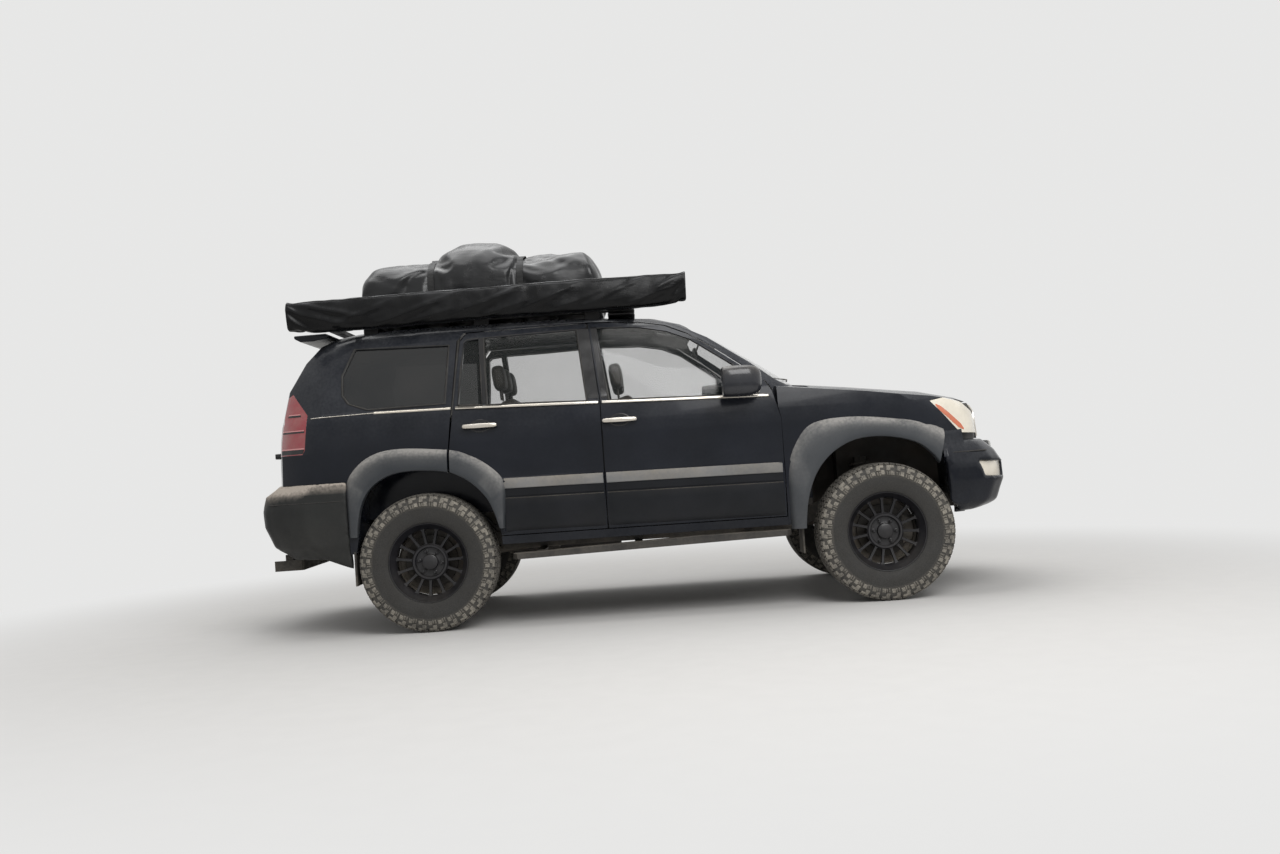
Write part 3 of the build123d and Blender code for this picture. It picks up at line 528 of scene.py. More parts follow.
# Body panels: finish, slot and width of the rounding
panelFinish = {
    ("bodyPaint", "body_paint", 0.003): [
        "body_sides", "front_wings", "door_front_left", "door_front_right", "door_rear_left",
        "door_rear_right", "tailgate", "bulkhead"],
    ("bodyPaint", "body_paint", 0.004): ["roof_panel", "bonnet"],
    ("bodyPaint", "body_paint", 0.006): ["roof_spoiler"],
    ("blackPlastic", "grille_dark", 0.001): ["grille"],
    ("blackPlastic", "black_plastic", 0.006): ["side_steps"],
    ("rackBlack", "rack_black", 0.003): ["roof_rack"],
    ("frameBlack", "frame_black", 0.004): ["frame_rails", "crossmembers"],
    ("frameBlack", "frame_black", 0.003): ["tow_hitch"],
    ("dashPlastic", "dash_plastic", 0.010): ["dashboard"],
    ("blackPlastic", "tank_plastic", 0.010): ["fuel_tank"],
    ("frameBlack", "body_paint", 0.0): ["floor_pan"],
    ("flapRubber", "flap_rubber", 0.002): ["mud_flaps"],
}
for (finishName, slotName, bevelWidth), names in panelFinish.items():
    for name in names:
        dressNode(name, finish[finishName], bevelWidth)
softenNode("front_bumper", finish["bodyPaint"])
softenNode("rear_bumper", finish["bumperPlastic"])

# The flare on the rear doors is a trim piece of its own, so the dressed doors are flat under it
flareArea = {"front": -0.78, "top": 1.13, "skin": 0.9165}
for side in ("left", "right"):
    for vertex in bpy.data.objects[f"door_rear_{side}_dressed"].data.vertices:
        spot = vertex.co
        if spot.x < flareArea["front"] and spot.z < flareArea["top"] and abs(spot.y) > flareArea["skin"]:
            spot.y = math.copysign(flareArea["skin"], spot.y)

plainFinish = {
    "castDark": ["engine_block", "gearbox_and_shafts", "rear_axle", "front_suspension", "knuckle_left",
                 "knuckle_right"],
    "steel": ["exhaust"],
    "flapRubber": ["spare_wheel"],
}
for finishName, names in plainFinish.items():
    for name in names:
        paintNode(name, finish[finishName])
for material, names in (
    (clearGlass, ["windscreen"] + [f"door_{door}_glass" for door in (
        "front_left", "front_right", "rear_left", "rear_right")]),
    (tintedGlass, ["quarter_glass", "tailgate_glass"]),
):
    for name in names:
        dressNode(name, material, 0.0)
print("body panels dressed")


# Tyres: one surface runs from bead to bead, and lugs and tread blocks stand up from it
tyreLook = {
    "steps": 160, "shares": 52, "lugPitches": 38, "lugLift": 0.0052, "treadLift": 0.0092, "chamfer": 0.86,
    # Half of the carcass from the bead to the middle of the tread: out from the wheel's middle, radius
    "carcass": [
        (0.106, 0.2435), (0.113, 0.242), (0.12, 0.247), (0.129, 0.27), (0.135, 0.3), (0.1373, 0.33),
        (0.137, 0.35), (0.135, 0.372), (0.129, 0.39), (0.118, 0.402), (0.102, 0.4075), (0.08, 0.409),
        (0.04, 0.4098), (0.0, 0.41),
    ],
    # Dust on the carcass: up to which radius, and how much
    "dust": [(0.335, 0.04), (0.40, 0.18), (1.0, 0.10)],
    # Side lugs, long and short by turns: start and end along the carcass, share of the pitch, lean, dust
    "sideRows": [
        (0.225, 0.345, 0.06, 0.46, 0.10, 0.95), (0.268, 0.345, 0.54, 0.92, -0.06, 0.85),
        (0.215, 0.258, 0.50, 0.66, 0.02, 0.70), (0.215, 0.258, 0.74, 0.90, 0.02, 0.60),
    ],
    # Tread rows: start and end along the carcass, the blocks' share of the pitch, shift, lean
    "treadRows": [
        (0.352, 0.402, 0.80, 0.10, 0.10), (0.412, 0.452, 0.74, 0.45, -0.30), (0.463, 0.498, 0.70, 0.10, 0.35),
    ],
}
tyreRows = tyreLook["carcass"] + [(-along, radius) for along, radius in reversed(tyreLook["carcass"][:-1])]


def carcassPoint(share):
    # share runs from 0 at the outer bead to 1 at the inner bead
    return Vector(smoothRow(tyreRows, share * (len(tyreRows) - 1)))


def tyrePoint(turn, share, lift=0.0):
    step = carcassPoint(min(share + 0.01, 1.0)) - carcassPoint(max(share - 0.01, 0.0))
    spot = carcassPoint(share) + Vector((step.y, -step.x)).normalized() * lift
    return Vector((spot.y * math.cos(turn), spot.x, spot.y * math.sin(turn)))


def lugPart(corners, lift):
    # corners are (turn, share); the top is a little smaller than the foot
    middleTurn, middleShare = middleOf(corners)
    keep = tyreLook["chamfer"]
    foot = [tyrePoint(turn, share, -0.002) for turn, share in corners]
    waist = [tyrePoint(turn, share, lift * 0.8) for turn, share in corners]
    top = [tyrePoint(middleTurn + (turn - middleTurn) * keep, middleShare + (share - middleShare) * keep,
                     lift)
           for turn, share in corners]
    count = len(corners)
    faces = [tuple(2 * count + k for k in range(count))]
    for row in (0, count):
        faces += [(row + k, row + (k + 1) % count, row + count + (k + 1) % count, row + count + k)
                  for k in range(count)]
    return foot + waist + top, faces


def buildTyre():
    look = tyreLook
    count = look["shares"] + 1
    rings = [[tyrePoint(turn, k / look["shares"]) for k in range(count)] for turn in turns(look["steps"])]
    faces = []
    for k in range(look["steps"]):
        near, far = k * count, ((k + 1) % look["steps"]) * count
        faces += [(near + j, far + j, far + j + 1, near + j + 1) for j in range(count - 1)]
    carcass = [spot for ring in rings for spot in ring]
    dust = [next(amount for limit, amount in look["dust"] if math.hypot(spot.x, spot.z) < limit)
            for spot in carcass]
    parts = [(carcass, faces)]
    pitch = 2 * math.pi / look["lugPitches"]
    random.seed(5)
    for number in range(look["lugPitches"]):
        start = number * pitch
        for inner, outer, low, high, lean, marked in look["sideRows"]:
            shift = random.uniform(-0.006, 0.006)
            for flip in (False, True):
                corners = [(start + pitch * low, inner + shift), (start + pitch * high, inner + shift),
                           (start + pitch * (high + lean), outer), (start + pitch * (low + lean), outer)]
                if flip:
                    corners = [(turn + pitch * 0.5, 1 - share) for turn, share in reversed(corners)]
                parts.append(lugPart(corners, look["lugLift"] * random.uniform(0.85, 1.0)))
                dust += [0.15] * 4 + [marked] * 8
        for inner, outer, fill, shift, lean in look["treadRows"]:
            for part in (0.0, 0.5):
                low = start + pitch * (shift + part)
                high = low + pitch * fill * 0.5
                slant = pitch * lean * 0.3
                for flip in (False, True):
                    corners = [(low, inner), (high, inner), (high + slant, outer), (low + slant, outer)]
                    if flip:
                        corners = [(turn + pitch * 0.25, 1 - share) for turn, share in reversed(corners)]
                    parts.append(lugPart(corners, look["treadLift"]))
                    dust += [0.15] * 4 + [0.50] * 4 + [0.45] * 4
    return joinParts(parts), dust


# Rims: barrel, hub, spokes, wheel nuts and a valve; heights count from the hub's face where a row says so
rimLook = {
    "steps": 120, "hubSteps": 90, "spokes": 15, "hubRadius": 0.106, "barrelRadius": 0.206,
    "spokeHalf": 0.0085,
    "faceHub": 0.046, "faceRim": 0.062, "spokeDepth": 0.024, "nuts": 6, "nutRing": 0.0695, "nutFoot": 0.018,
    "barrel": [
        (-0.108, 0.236), (-0.108, 0.241), (-0.092, 0.2285), (-0.055, 0.21), (0.06, 0.21), (0.09, 0.228),
        (0.104, 0.24), (0.111, 0.242), (0.115, 0.2395), (0.114, 0.2355), (0.106, 0.233), (0.096, 0.227),
        (0.07, 0.21), (0.063, 0.2065), (0.056, 0.2035), (0.04, 0.2025), (0.02, 0.204), (-0.095, 0.223),
        (-0.108, 0.236),
    ],
    "hubBack": [(-0.004, 0.06), (-0.004, 0.112), (0.02, 0.1135)],
    "hubFace": [
        (-0.004, 0.1125), (0.0, 0.108), (0.006, 0.104), (0.006, 0.093), (0.001, 0.0885), (-0.014, 0.0865),
        (-0.016, 0.056), (-0.013, 0.05), (0.006, 0.046), (0.01, 0.04), (0.011, 0.001),
    ],
    "nut": [(0.0, 0.0145), (0.006, 0.0145), (0.008, 0.0105), (0.026, 0.01), (0.029, 0.007), (0.03, 0.0005)],
    "valve": [(0.196, 0.066, 0.036), (0.190, 0.086, 0.035)],
    # Half of a spoke's section: share of its half width, inset, height over its face
    "section": [(1, 0, None), (1, 0, -0.003), (1, 0.002, 0), (0.3, 0, 0), (0.2, 0, -0.0015)],
}


def spokePart(turn):
    look = rimLook
    along = Vector((math.cos(turn), 0, math.sin(turn)))
    across = Vector((-math.sin(turn), 0, math.cos(turn)))
    rings = []
    for share in (0.0, 0.10, 0.5, 0.86, 1.0):
        radius = look["hubRadius"] + (look["barrelRadius"] - look["hubRadius"]) * share
        face = look["faceHub"] - 0.003 + (look["faceRim"] - look["faceHub"]) * share ** 1.5
        halfWidth = look["spokeHalf"] * (1.9 if share in (0.0, 1.0) else 1.0)
        depth = look["spokeDepth"] * (1.1 if share < 0.2 else 0.9)
        half = [(halfWidth * wide - inset, face + (-depth if rise is None else rise))
                for wide, inset, rise in look["section"]]
        section = [(-half[0][0], half[0][1])] + half + [(-a, b) for a, b in reversed(half[1:])]
        rings.append([along * radius + across * a + Vector((0, b, 0)) for a, b in section])
    return loftRings(rings)


def buildRim():
    look = rimLook
    face = look["faceHub"]
    hub = look["hubBack"] + [(face + along, radius) for along, radius in look["hubFace"]]
    parts = [lathe(look["barrel"], look["steps"]), lathe(hub, look["hubSteps"])]
    parts += [spokePart(2 * math.pi * (k + 0.5) / look["spokes"]) for k in range(look["spokes"])]
    for turn in turns(look["nuts"]):
        centre = (look["nutRing"] * math.cos(turn), face - look["nutFoot"], look["nutRing"] * math.sin(turn))
        parts.append(movedPart(lathe(look["nut"], 6), Matrix.Translation(centre)))
    return joinParts(parts + [tubeAlong(look["valve"], 0.0035)])


def wheelPlace(x, side):
    return Matrix.Translation((x, side * wheelMidY, axleZ)) @ Matrix.Scale(side, 4, Vector((0, 1, 0)))


tyrePart, tyreDust = buildTyre()
rimPart = buildRim()
# Brake disc with a vented edge and its bell, seen between the spokes
discPart = lathe([
    (-0.012, 0.07), (-0.012, 0.08), (-0.052, 0.084), (-0.056, 0.094), (-0.056, 0.16), (-0.05, 0.161),
    (-0.048, 0.155), (-0.04, 0.155), (-0.038, 0.161), (-0.032, 0.16), (-0.032, 0.094), (-0.01, 0.09),
    (-0.006, 0.07)], 72)
for name, (x, side, turned) in wheels.items():
    body = "wheel_" + name
    place = wheelPlace(x, side) @ Matrix.Rotation(turned, 4, "Y")
    tyre = makePiece("tyreTread_" + name, movedPart(tyrePart, place), tyreRubber, body, 38.0)
    tyre.data.attributes.new("dust", "FLOAT", "POINT").data.foreach_set("value", tyreDust)
    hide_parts("tyre_" + name)
    rim = makePiece("rimSpokes_" + name, movedPart(rimPart, place), finish["rimBlack"], body, 38.0)
    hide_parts("rim_" + name)
    makePiece("brakeDisc_" + name, movedPart(discPart, place), finish["gritSteel"], body, 30.0)
print("wheels made")


# Roof load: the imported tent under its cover, and the awning in its bag
tentLook = {
    "bottom": 1.952, "straps": (-1.205, -0.640), "strapWidth": 0.040, "ring": 88, "step": 0.016,
    # Stations along the cover: x, top, half width, how square the section is
    "stations": [
        (-1.640, 2.150, 0.540, 2.6), (-1.648, 2.235, 0.575, 2.8), (-1.625, 2.300, 0.595, 3.0),
        (-1.560, 2.352, 0.606, 3.2), (-1.400, 2.352, 0.608, 3.3), (-1.250, 2.340, 0.602, 3.2),
        (-1.205, 2.335, 0.592, 3.2), (-1.150, 2.360, 0.600, 2.9), (-1.090, 2.418, 0.604, 2.6),
        (-1.000, 2.446, 0.606, 2.4), (-0.860, 2.446, 0.606, 2.4), (-0.760, 2.425, 0.604, 2.5),
        (-0.690, 2.372, 0.600, 2.8), (-0.640, 2.332, 0.590, 3.1), (-0.580, 2.336, 0.600, 3.1),
        (-0.400, 2.360, 0.606, 3.1), (-0.270, 2.374, 0.604, 3.0), (-0.205, 2.348, 0.596, 2.8),
        (-0.160, 2.275, 0.578, 2.6), (-0.138, 2.190, 0.545, 2.4),
    ],
    # Rings that close each end: share kept and distance off
    "rearEnd": [(0.05, 0.006), (0.25, 0.003), (0.45, 0.001), (0.65, 0.0), (0.82, -0.001), (0.93, -0.001)],
    "frontEnd": [(0.93, 0.003), (0.82, 0.006), (0.65, 0.009), (0.45, 0.011), (0.25, 0.012), (0.05, 0.012)],
    # Long soft creases: x and z where each starts and ends, its width and its height
    "folds": [
        (-1.62, 2.02, -1.28, 2.30, 0.022, 0.013), (-1.60, 2.26, -1.24, 2.10, 0.024, -0.012),
        (-1.56, 2.00, -1.24, 2.07, 0.018, 0.010), (-1.16, 2.02, -0.98, 2.22, 0.020, 0.014),
        (-1.17, 2.30, -1.02, 2.40, 0.016, 0.010), (-1.12, 2.08, -0.68, 2.14, 0.022, 0.012),
        (-0.96, 2.30, -0.72, 2.40, 0.020, 0.009), (-0.72, 2.20, -0.66, 2.36, 0.014, 0.010),
        (-0.60, 2.24, -0.22, 2.33, 0.026, 0.014), (-0.60, 2.10, -0.30, 2.26, 0.022, 0.015),
        (-0.58, 2.02, -0.20, 2.12, 0.020, 0.012), (-0.50, 2.32, -0.30, 2.22, 0.018, -0.010),
        (-0.24, 2.34, -0.16, 2.06, 0.020, 0.012), (-1.44, 2.33, -1.25, 2.26, 0.016, 0.009),
    ],
    # Creases of the left side are those of the right side turned about this x
    "flipFolds": -0.90,
    "cloth": {"pressure": 1.6, "spare": 0.05, "cap": 0.022},
}
awningLook = {
    "step": 0.014, "start": -2.078, "end": 0.396, "rise": 0.030, "ring": 60, "middle": (-0.738, 1.985),
    # Section from the inner lower corner over the top to the outside: y, z
    "section": [
        (-0.674, 1.905), (-0.674, 1.980), (-0.674, 2.050), (-0.684, 2.078), (-0.705, 2.086), (-0.735, 2.087),
        (-0.765, 2.084), (-0.786, 2.070), (-0.797, 2.035), (-0.801, 1.985), (-0.798, 1.930), (-0.786, 1.896),
        (-0.755, 1.884), (-0.715, 1.883), (-0.688, 1.888),
    ],
    "rearEnd": [(0.06, -0.004), (0.35, -0.004), (0.65, -0.003), (0.9, -0.002)],
    "frontEnd": [(0.9, 0.002), (0.65, 0.003), (0.35, 0.004), (0.06, 0.004)],
    "folds": [
        (-2.06, 2.02, -1.72, 1.92, 0.018, 0.010), (-2.00, 2.06, -1.60, 1.96, 0.016, 0.009),
        (-1.80, 1.92, -1.42, 2.05, 0.018, 0.011), (-1.55, 1.90, -1.05, 2.06, 0.018, 0.012),
        (-1.38, 1.90, -0.92, 2.00, 0.016, 0.010), (-1.10, 1.92, -0.62, 2.08, 0.016, 0.012),
        (-0.92, 1.90, -0.50, 2.02, 0.015, 0.011), (-0.66, 1.93, -0.30, 2.07, 0.015, 0.010),
        (-0.45, 1.92, -0.12, 2.03, 0.014, 0.008), (-0.20, 1.96, 0.16, 2.10, 0.013, 0.007),
        (0.02, 1.93, 0.30, 2.02, 0.012, 0.006), (0.16, 2.00, 0.38, 2.10, 0.012, 0.008),
    ],
    "flipFolds": None,
    "cloth": {"pressure": 0.8, "spare": 0.045, "cap": 0.014},
}
clothLook = {
    "quality": 4, "mass": 0.25, "tension_stiffness": 12.0, "compression_stiffness": 12.0,
    "shear_stiffness": 4.0, "bending_stiffness": 0.35, "use_pressure": True,
}
clothFrames = 22


def tentRing(spot):
    x, top, half, power = smoothRow(tentLook["stations"], spot)
    middle = (tentLook["bottom"] + top) / 2
    ring = []
    for turn in turns(tentLook["ring"]):
        across, tall = squared(turn, 2 / power, 2 / power)
        if tall < 0:
            tall = -abs(math.sin(turn)) ** 0.35
        ring.append(Vector((x, half * across * (1.0 - 0.05 * max(tall, 0) ** 2),
                            middle + (top - middle) * tall)))
    return ring


def awningRing(share):
    look = awningLook
    rows = look["section"]
    middleY, middleZ = Vector(look["middle"])
    # The bag hangs fuller in its middle and draws in at its ends
    full = 1.0 - 0.10 * abs(2 * share - 1) ** 6
    ring = []
    for k in range(look["ring"]):
        place = k * len(rows) / look["ring"]
        index = int(place)
        y, z = spline([rows[(index + step) % len(rows)] for step in (-1, 0, 1, 2)], place - index)
        ring.append(Vector((look["start"] + (look["end"] - look["start"]) * share,
                            middleY + (y - middleY) * full,
                            middleZ + (z - middleZ) * full + look["rise"] * share)))
    return ring


def evenRings(makeRing, count, step):
    # Rings at even steps of the longest path between them
    rings = [makeRing(0.0)]
    spot = 0.0
    while spot < count:
        spot += 0.02
        ring = makeRing(spot)
        if max((a - b).length for a, b in zip(ring[::11], rings[-1][::11])) > step:
            rings.append(ring)
    return rings


def shrinkRing(ring, keep, shift):
    centre = sum(ring, Vector()) / len(ring)
    return [centre + (spot - centre) * keep + Vector((shift, 0, 0)) for spot in ring]


def crumple(piece, hold, pressure, spare, cap):
    # Cloth swells and buckles the cover; no point moves further than the cap
    before = [vertex.co.copy() for vertex in piece.data.vertices]
    group = piece.vertex_groups.new(name="hold")
    for index in hold:
        group.add([index], 1.0, "REPLACE")
    cloth = piece.modifiers.new("Cloth", "CLOTH")
    for key, value in clothLook.items():
        setattr(cloth.settings, key, value)
    cloth.settings.uniform_pressure_force = pressure
    cloth.settings.shrink_min = -spare
    cloth.settings.vertex_group_mass = "hold"
    cloth.settings.effector_weights.gravity = 0.25
    cloth.point_cache.frame_start = 1
    cloth.point_cache.frame_end = clothFrames
    scene = bpy.context.scene
    for number in range(1, clothFrames + 1):
        scene.frame_set(number)
    settled = piece.evaluated_get(bpy.context.evaluated_depsgraph_get())
    moved = [vertex.co.copy() for vertex in settled.to_mesh().vertices]
    settled.to_mesh_clear()
    piece.modifiers.remove(cloth)
    scene.frame_set(1)
    for vertex, old, new in zip(piece.data.vertices, before, moved):
        step = new - old
        vertex.co = old + step * min(1.0, cap / max(step.length, 1e-9))
    piece.data.update()


def foldLift(spot, folds):
    lift = 0.0
    for startX, startZ, endX, endZ, width, height in folds:
        run = Vector((endX - startX, endZ - startZ))
        reach = Vector((spot.x - startX, spot.z - startZ))
        along = reach.dot(run) / run.length_squared
        if -0.15 < along < 1.15:
            aside = abs(reach.x * run.y - reach.y * run.x) / run.length
            fade = math.sin(math.pi * min(max((along + 0.15) / 1.3, 0.0), 1.0))
            lift += height * fade * math.exp(-(aside / width) ** 2)
    return lift


def creasedPiece(name, rings, look, material, hold, node):
    rings = ([shrinkRing(rings[0], *row) for row in look["rearEnd"]] + rings
             + [shrinkRing(rings[-1], *row) for row in look["frontEnd"]])
    piece = makePiece(name, loftRings(rings), material, "chassis", 75.0)
    vertices = piece.data.vertices
    normals = [vertex.normal.copy() for vertex in vertices]
    for vertex, normal in zip(vertices, normals):
        spot = vertex.co.copy()
        if look["flipFolds"] and spot.y > 0:
            spot.x = 2 * look["flipFolds"] - spot.x
        wander = noise.noise(vertex.co * 6.0) * 0.006 + noise.noise(vertex.co * 17.0) * 0.0025
        vertex.co = vertex.co + normal * (foldLift(spot, look["folds"]) + wander)
    crumple(piece, [k for k, vertex in enumerate(vertices) if hold(vertex.co)], **look["cloth"])
    addModifier(piece, "SUBSURF", levels=1, render_levels=1)
    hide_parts(node)
    print(name, "made:", len(rings), "rings")


def tentHeld(spot):
    atStrap = min(abs(spot.x - x) for x in tentLook["straps"]) < 0.022
    return spot.z < tentLook["bottom"] + 0.03 or atStrap


def awningHeld(spot):
    return spot.y > -0.682 or min(abs(spot.x - awningLook[end]) for end in ("start", "end")) < 0.01


creasedPiece("tentCover", evenRings(tentRing, len(tentLook["stations"]) - 1, tentLook["step"]), tentLook,
             tentVinyl, tentHeld, "roof_tent")

# Straps over the cover, each with a buckle on either side
tentTree = skinTree(["tentCover"])
bucklePlate = [(-0.026, -0.022), (0.026, -0.022), (0.030, -0.010), (0.030, 0.010), (0.026, 0.022),
               (-0.026, 0.022), (-0.030, 0.010), (-0.030, -0.010)]


def strapSpots(x, count=96):
    # The outermost of three lines of the cover counts, so that no fold cuts through the strap
    middle = Vector((x, 0, 2.12))
    spots = []
    for turn in turns(count):
        outward = Vector((0, math.cos(turn), 0.55 * math.sin(turn)))
        start = middle + outward * 1.2
        hits = [castOn(tentTree, start + Vector((aside, 0, 0)), -outward) for aside in (-0.015, 0.0, 0.015)]
        far = max((hit for hit in hits if hit), key=lambda hit: (hit - middle).length)
        spots.append(Vector((x, far.y, far.z)))
    return spots


def strapPart(spots, width, lift=0.003, thick=0.002):
    middle = sum(spots, Vector()) / len(spots)
    rings = []
    for k, spot in enumerate(spots):
        along = (spots[(k + 1) % len(spots)] - spots[k - 1]).normalized()
        outward = along.cross(Vector((1, 0, 0))).normalized()
        if outward.dot(spot - middle) < 0:
            outward = -outward
        rings.append([spot + outward * rise + Vector((aside, 0, 0)) for aside, rise in (
            (-width / 2, lift), (-width / 2, lift + thick), (width / 2, lift + thick), (width / 2, lift))])
    return loftRings(rings + rings[:1], True, False)


for number, x in enumerate(tentLook["straps"]):
    spots = strapSpots(x)
    makePiece(f"tentStrap_{number}", strapPart(spots, tentLook["strapWidth"]), strapWeb, "chassis", 40.0)
    for side, sideName in ((-1, "right"), (1, "left")):
        place = min((s for s in spots if s.y * side > 0), key=lambda s: abs(s.z - 2.03))
        buckle = boxBetween(bucklePlate, lambda a, b: Vector((x + a, place.y + side * 0.005, place.z + b)),
                            lambda a, b: Vector((x + a * 0.92, place.y + side * 0.014, place.z + b * 0.9)))
        makePiece(f"tentBuckle_{number}_{sideName}", buckle, finish["blackPlastic"], "chassis", 30.0)

# The board that the tent folds on, and the zip along the cover
board = boxBetween([(-1.642, -0.606), (-0.140, -0.606), (-0.140, 0.606), (-1.642, 0.606)],
                   lambda a, b: Vector((a, b, 1.9495)), lambda a, b: Vector((a, b, 1.972)))
makePiece("tentBoard", board, finish["rackBlack"], "chassis", 30.0)
zips = [tubeAlong([(-1.62 + k * 0.05, side * 0.609, 1.982) for k in range(30)], 0.005, 6) for side in (-1, 1)]
makePiece("tentZip", joinParts(zips), finish["blackPlastic"], "chassis", 40.0)

awningCount = int((awningLook["end"] - awningLook["start"]) / awningLook["step"])
creasedPiece("awningBag", [awningRing(k / awningCount) for k in range(awningCount + 1)], awningLook,
             awningVinyl, awningHeld, "awning_bag")

# Piping along the bag's top edge
bagTree = skinTree(["awningBag"])
topLine = [castOn(bagTree, (x, -0.772, 2.4), (0, 0, -1))
           for x in spread(awningLook["start"] + 0.01, awningLook["end"] - 0.01, 89)]
piping = tubeAlong([hit + Vector((0, 0, 0.001)) for hit in topLine if hit], 0.0032, 6)
makePiece("awningPiping", piping, strapWeb, "chassis", 40.0)


# Trim on the body's skin
chassisPair = ("chassis", "chassis")
frontDoors = ("door_front_right", "door_front_left")
rearDoors = ("door_rear_right", "door_rear_left")


def outerY(x, z, tree=rightSkin, reach=0.012, fallback=-0.90):
    # Gaps between panels are bridged: the outermost of three casts counts where the middle one falls in
    hits = [castOn(tree, (x + step, -2.0, z), (0, 1, 0)) for step in (0.0, -reach, reach)]
    values = [hit.y for hit in hits if hit and hit.y < 0]
    if not values:
        return fallback
    first = hits[0].y if hits[0] and hits[0].y < 0 else 0.0
    return first if first < min(values) + 0.006 else min(values)


def skinStrip(rows, tree=rightSkin, reach=0.012, fallback=-0.90):
    # Rows of x, z and lift in metres; the lift counts outward from the skin
    return openLoft([[Vector((x, outerY(x, z, tree, reach, fallback) - lift, z)) for x, z, lift in row]
                     for row in rows])


def facedOut(part):
    # Faces of an open strip on the right side look to the right; those of a closed form look outward
    vertices, faces = part
    total = Vector()
    volume = 0.0
    for face in faces:
        first, *others = (Vector(vertices[k]) for k in face)
        for second, third in zip(others, others[1:]):
            cross = (second - first).cross(third - first)
            total += cross
            volume += first.dot(cross)
    wrong = volume < 0 if total.length < 1e-5 else total.y > 0
    return (vertices, [tuple(reversed(face)) for face in faces]) if wrong else part


def bothSides(name, part, finishName, bodies, angle=40.0, replaced=None):
    # The piece on the right and its mirror image on the left
    material = finish.get(finishName, finishName)
    part = facedOut(part)
    for side, body, shape in (("right", bodies[0], part), ("left", bodies[1], mirrorY(part))):
        piece = makePiece(f"{name}_{side}", shape, material, body, angle)
        if replaced:
            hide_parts(replaced.format(side))


# Wheel arch flares: stations in millimetres, on the arch and on the flare's outer edge: x, z, x, z
flareLook = {
    "stand": 0.031, "leastLip": -0.934, "lipDepth": 0.068, "steps": 6, "skinLimit": -0.9175, "ease": 6,
    # Across the flare from its outer edge: share of the width, share of the height
    "profile": [(-0.02, -0.004), (0.0, 0.10), (0.04, 0.30), (0.12, 0.60), (0.22, 0.82), (0.34, 0.93),
                (0.50, 0.98), (0.80, 1.02), (0.93, 1.0), (0.985, 0.90), (1.0, 0.72)],
    # Under the lip: share of its depth, shift toward the wheel
    "lip": [(0.25, 0.001), (1.0, -0.002), (1.0, -0.012)],
    "front": [
        (1852, 815, 1905, 1014), (1800, 898, 1790, 1064), (1739, 943, 1700, 1084), (1643, 982, 1592, 1101),
        (1520, 1000, 1490, 1116), (1396, 1005, 1395, 1127), (1270, 970, 1260, 1130), (1165, 890, 1108, 1115),
        (1110, 817, 1043, 1070), (1079, 758, 987, 975), (1053, 690, 945, 900), (1035, 625, 932, 800),
        (1026, 560, 932, 640), (1020, 474, 934, 474),
    ],
    "rearDoor": [
        (-832, 600, -800, 600), (-862, 710, -790, 760), (-885, 767, -784, 850), (-918, 812, -800, 905),
        (-960, 860, -850, 955), (-1007, 902, -906, 1002), (-1065, 935, -1000, 1062),
        (-1112, 956, -1109, 1090),
    ],
    "rearBody": [
        (-1125, 958, -1124, 1092), (-1241, 979, -1230, 1105), (-1360, 982, -1353, 1116),
        (-1440, 974, -1473, 1119),
        (-1506, 953, -1594, 1094), (-1562, 922, -1675, 1030), (-1607, 882, -1728, 965),
        (-1642, 832, -1742, 930),
        (-1664, 770, -1742, 850), (-1682, 690, -1742, 720), (-1690, 602, -1742, 602),
    ],
}


def flarePart(stations):
    look = flareLook
    rings = []
    for k in range((len(stations) - 1) * look["steps"] + 1):
        innerX, innerZ, outerX, outerZ = (value / 1000 for value in smoothRow(stations, k / look["steps"]))
        base = max(outerY(outerX, outerZ), look["skinLimit"])
        lipY = min(base - look["stand"], look["leastLip"])
        ring = [Vector((outerX + (innerX - outerX) * share, base + (lipY - base) * rise,
                        outerZ + (innerZ - outerZ) * share)) for share, rise in look["profile"]]
        inward = Vector((innerX - outerX, 0, innerZ - outerZ)).normalized()
        ring += [Vector((innerX, lipY + look["lipDepth"] * depth, innerZ)) + inward * shift
                 for depth, shift in look["lip"]]
        rings.append(ring)
    eased = []
    for k in range(len(rings)):
        reach = min(look["ease"], k, len(rings) - 1 - k)
        near = rings[k - reach:k + reach + 1]
        eased.append([sum(spots, Vector()) / len(near) for spots in zip(*near)])
    return openLoft(eased)


for key, bodies, replaced in (("front", chassisPair, "arch_flares"), ("rearBody", chassisPair, "arch_flares"),
                              ("rearDoor", rearDoors, None)):
    bothSides("flare_" + key, flarePart(flareLook[key]), "flarePlastic", bodies, 42.0,
              replaced)
print("arch flares made")

# Door cladding: a sloped band under a crisp crease, a groove and a plain lower panel. Rows are drop and lift
claddingLook = {
    "kinds": {
        # The band's pale finish is dust with a painted sky reflection
        ("Band", "dustedBand"): [
            (0.0, -0.003), (0.001, 0.001), (0.012, 0.0035), (0.034, 0.0075), (0.054, 0.0115), (0.0595, 0.012),
            (0.0625, 0.0105)],
        ("Panel", "lowCladding"): [
            (0.0625, 0.0105), (0.068, 0.0062), (0.106, 0.0052), (0.1095, 0.0045), (0.112, 0.0002),
            (0.1195, 0.0002), (0.122, 0.0045), (0.13, 0.0056), (0.21, 0.0065), (0.275, 0.0065),
            (0.29, 0.0065), (0.302, 0.0065), (0.311, 0.0052), (0.32, 0.0016), (0.323, -0.003)],
    },
    "doors": [("front", frontDoors, -0.170, 0.900), ("rear", rearDoors, -0.792, -0.190)],
}


def claddingTop(x):
    return 0.899 - 0.015 * (x + 0.794) / 1.724


def acrossRow(start, end, step=0.045):
    return spread(start, end, max(2, int((end - start) / step)))


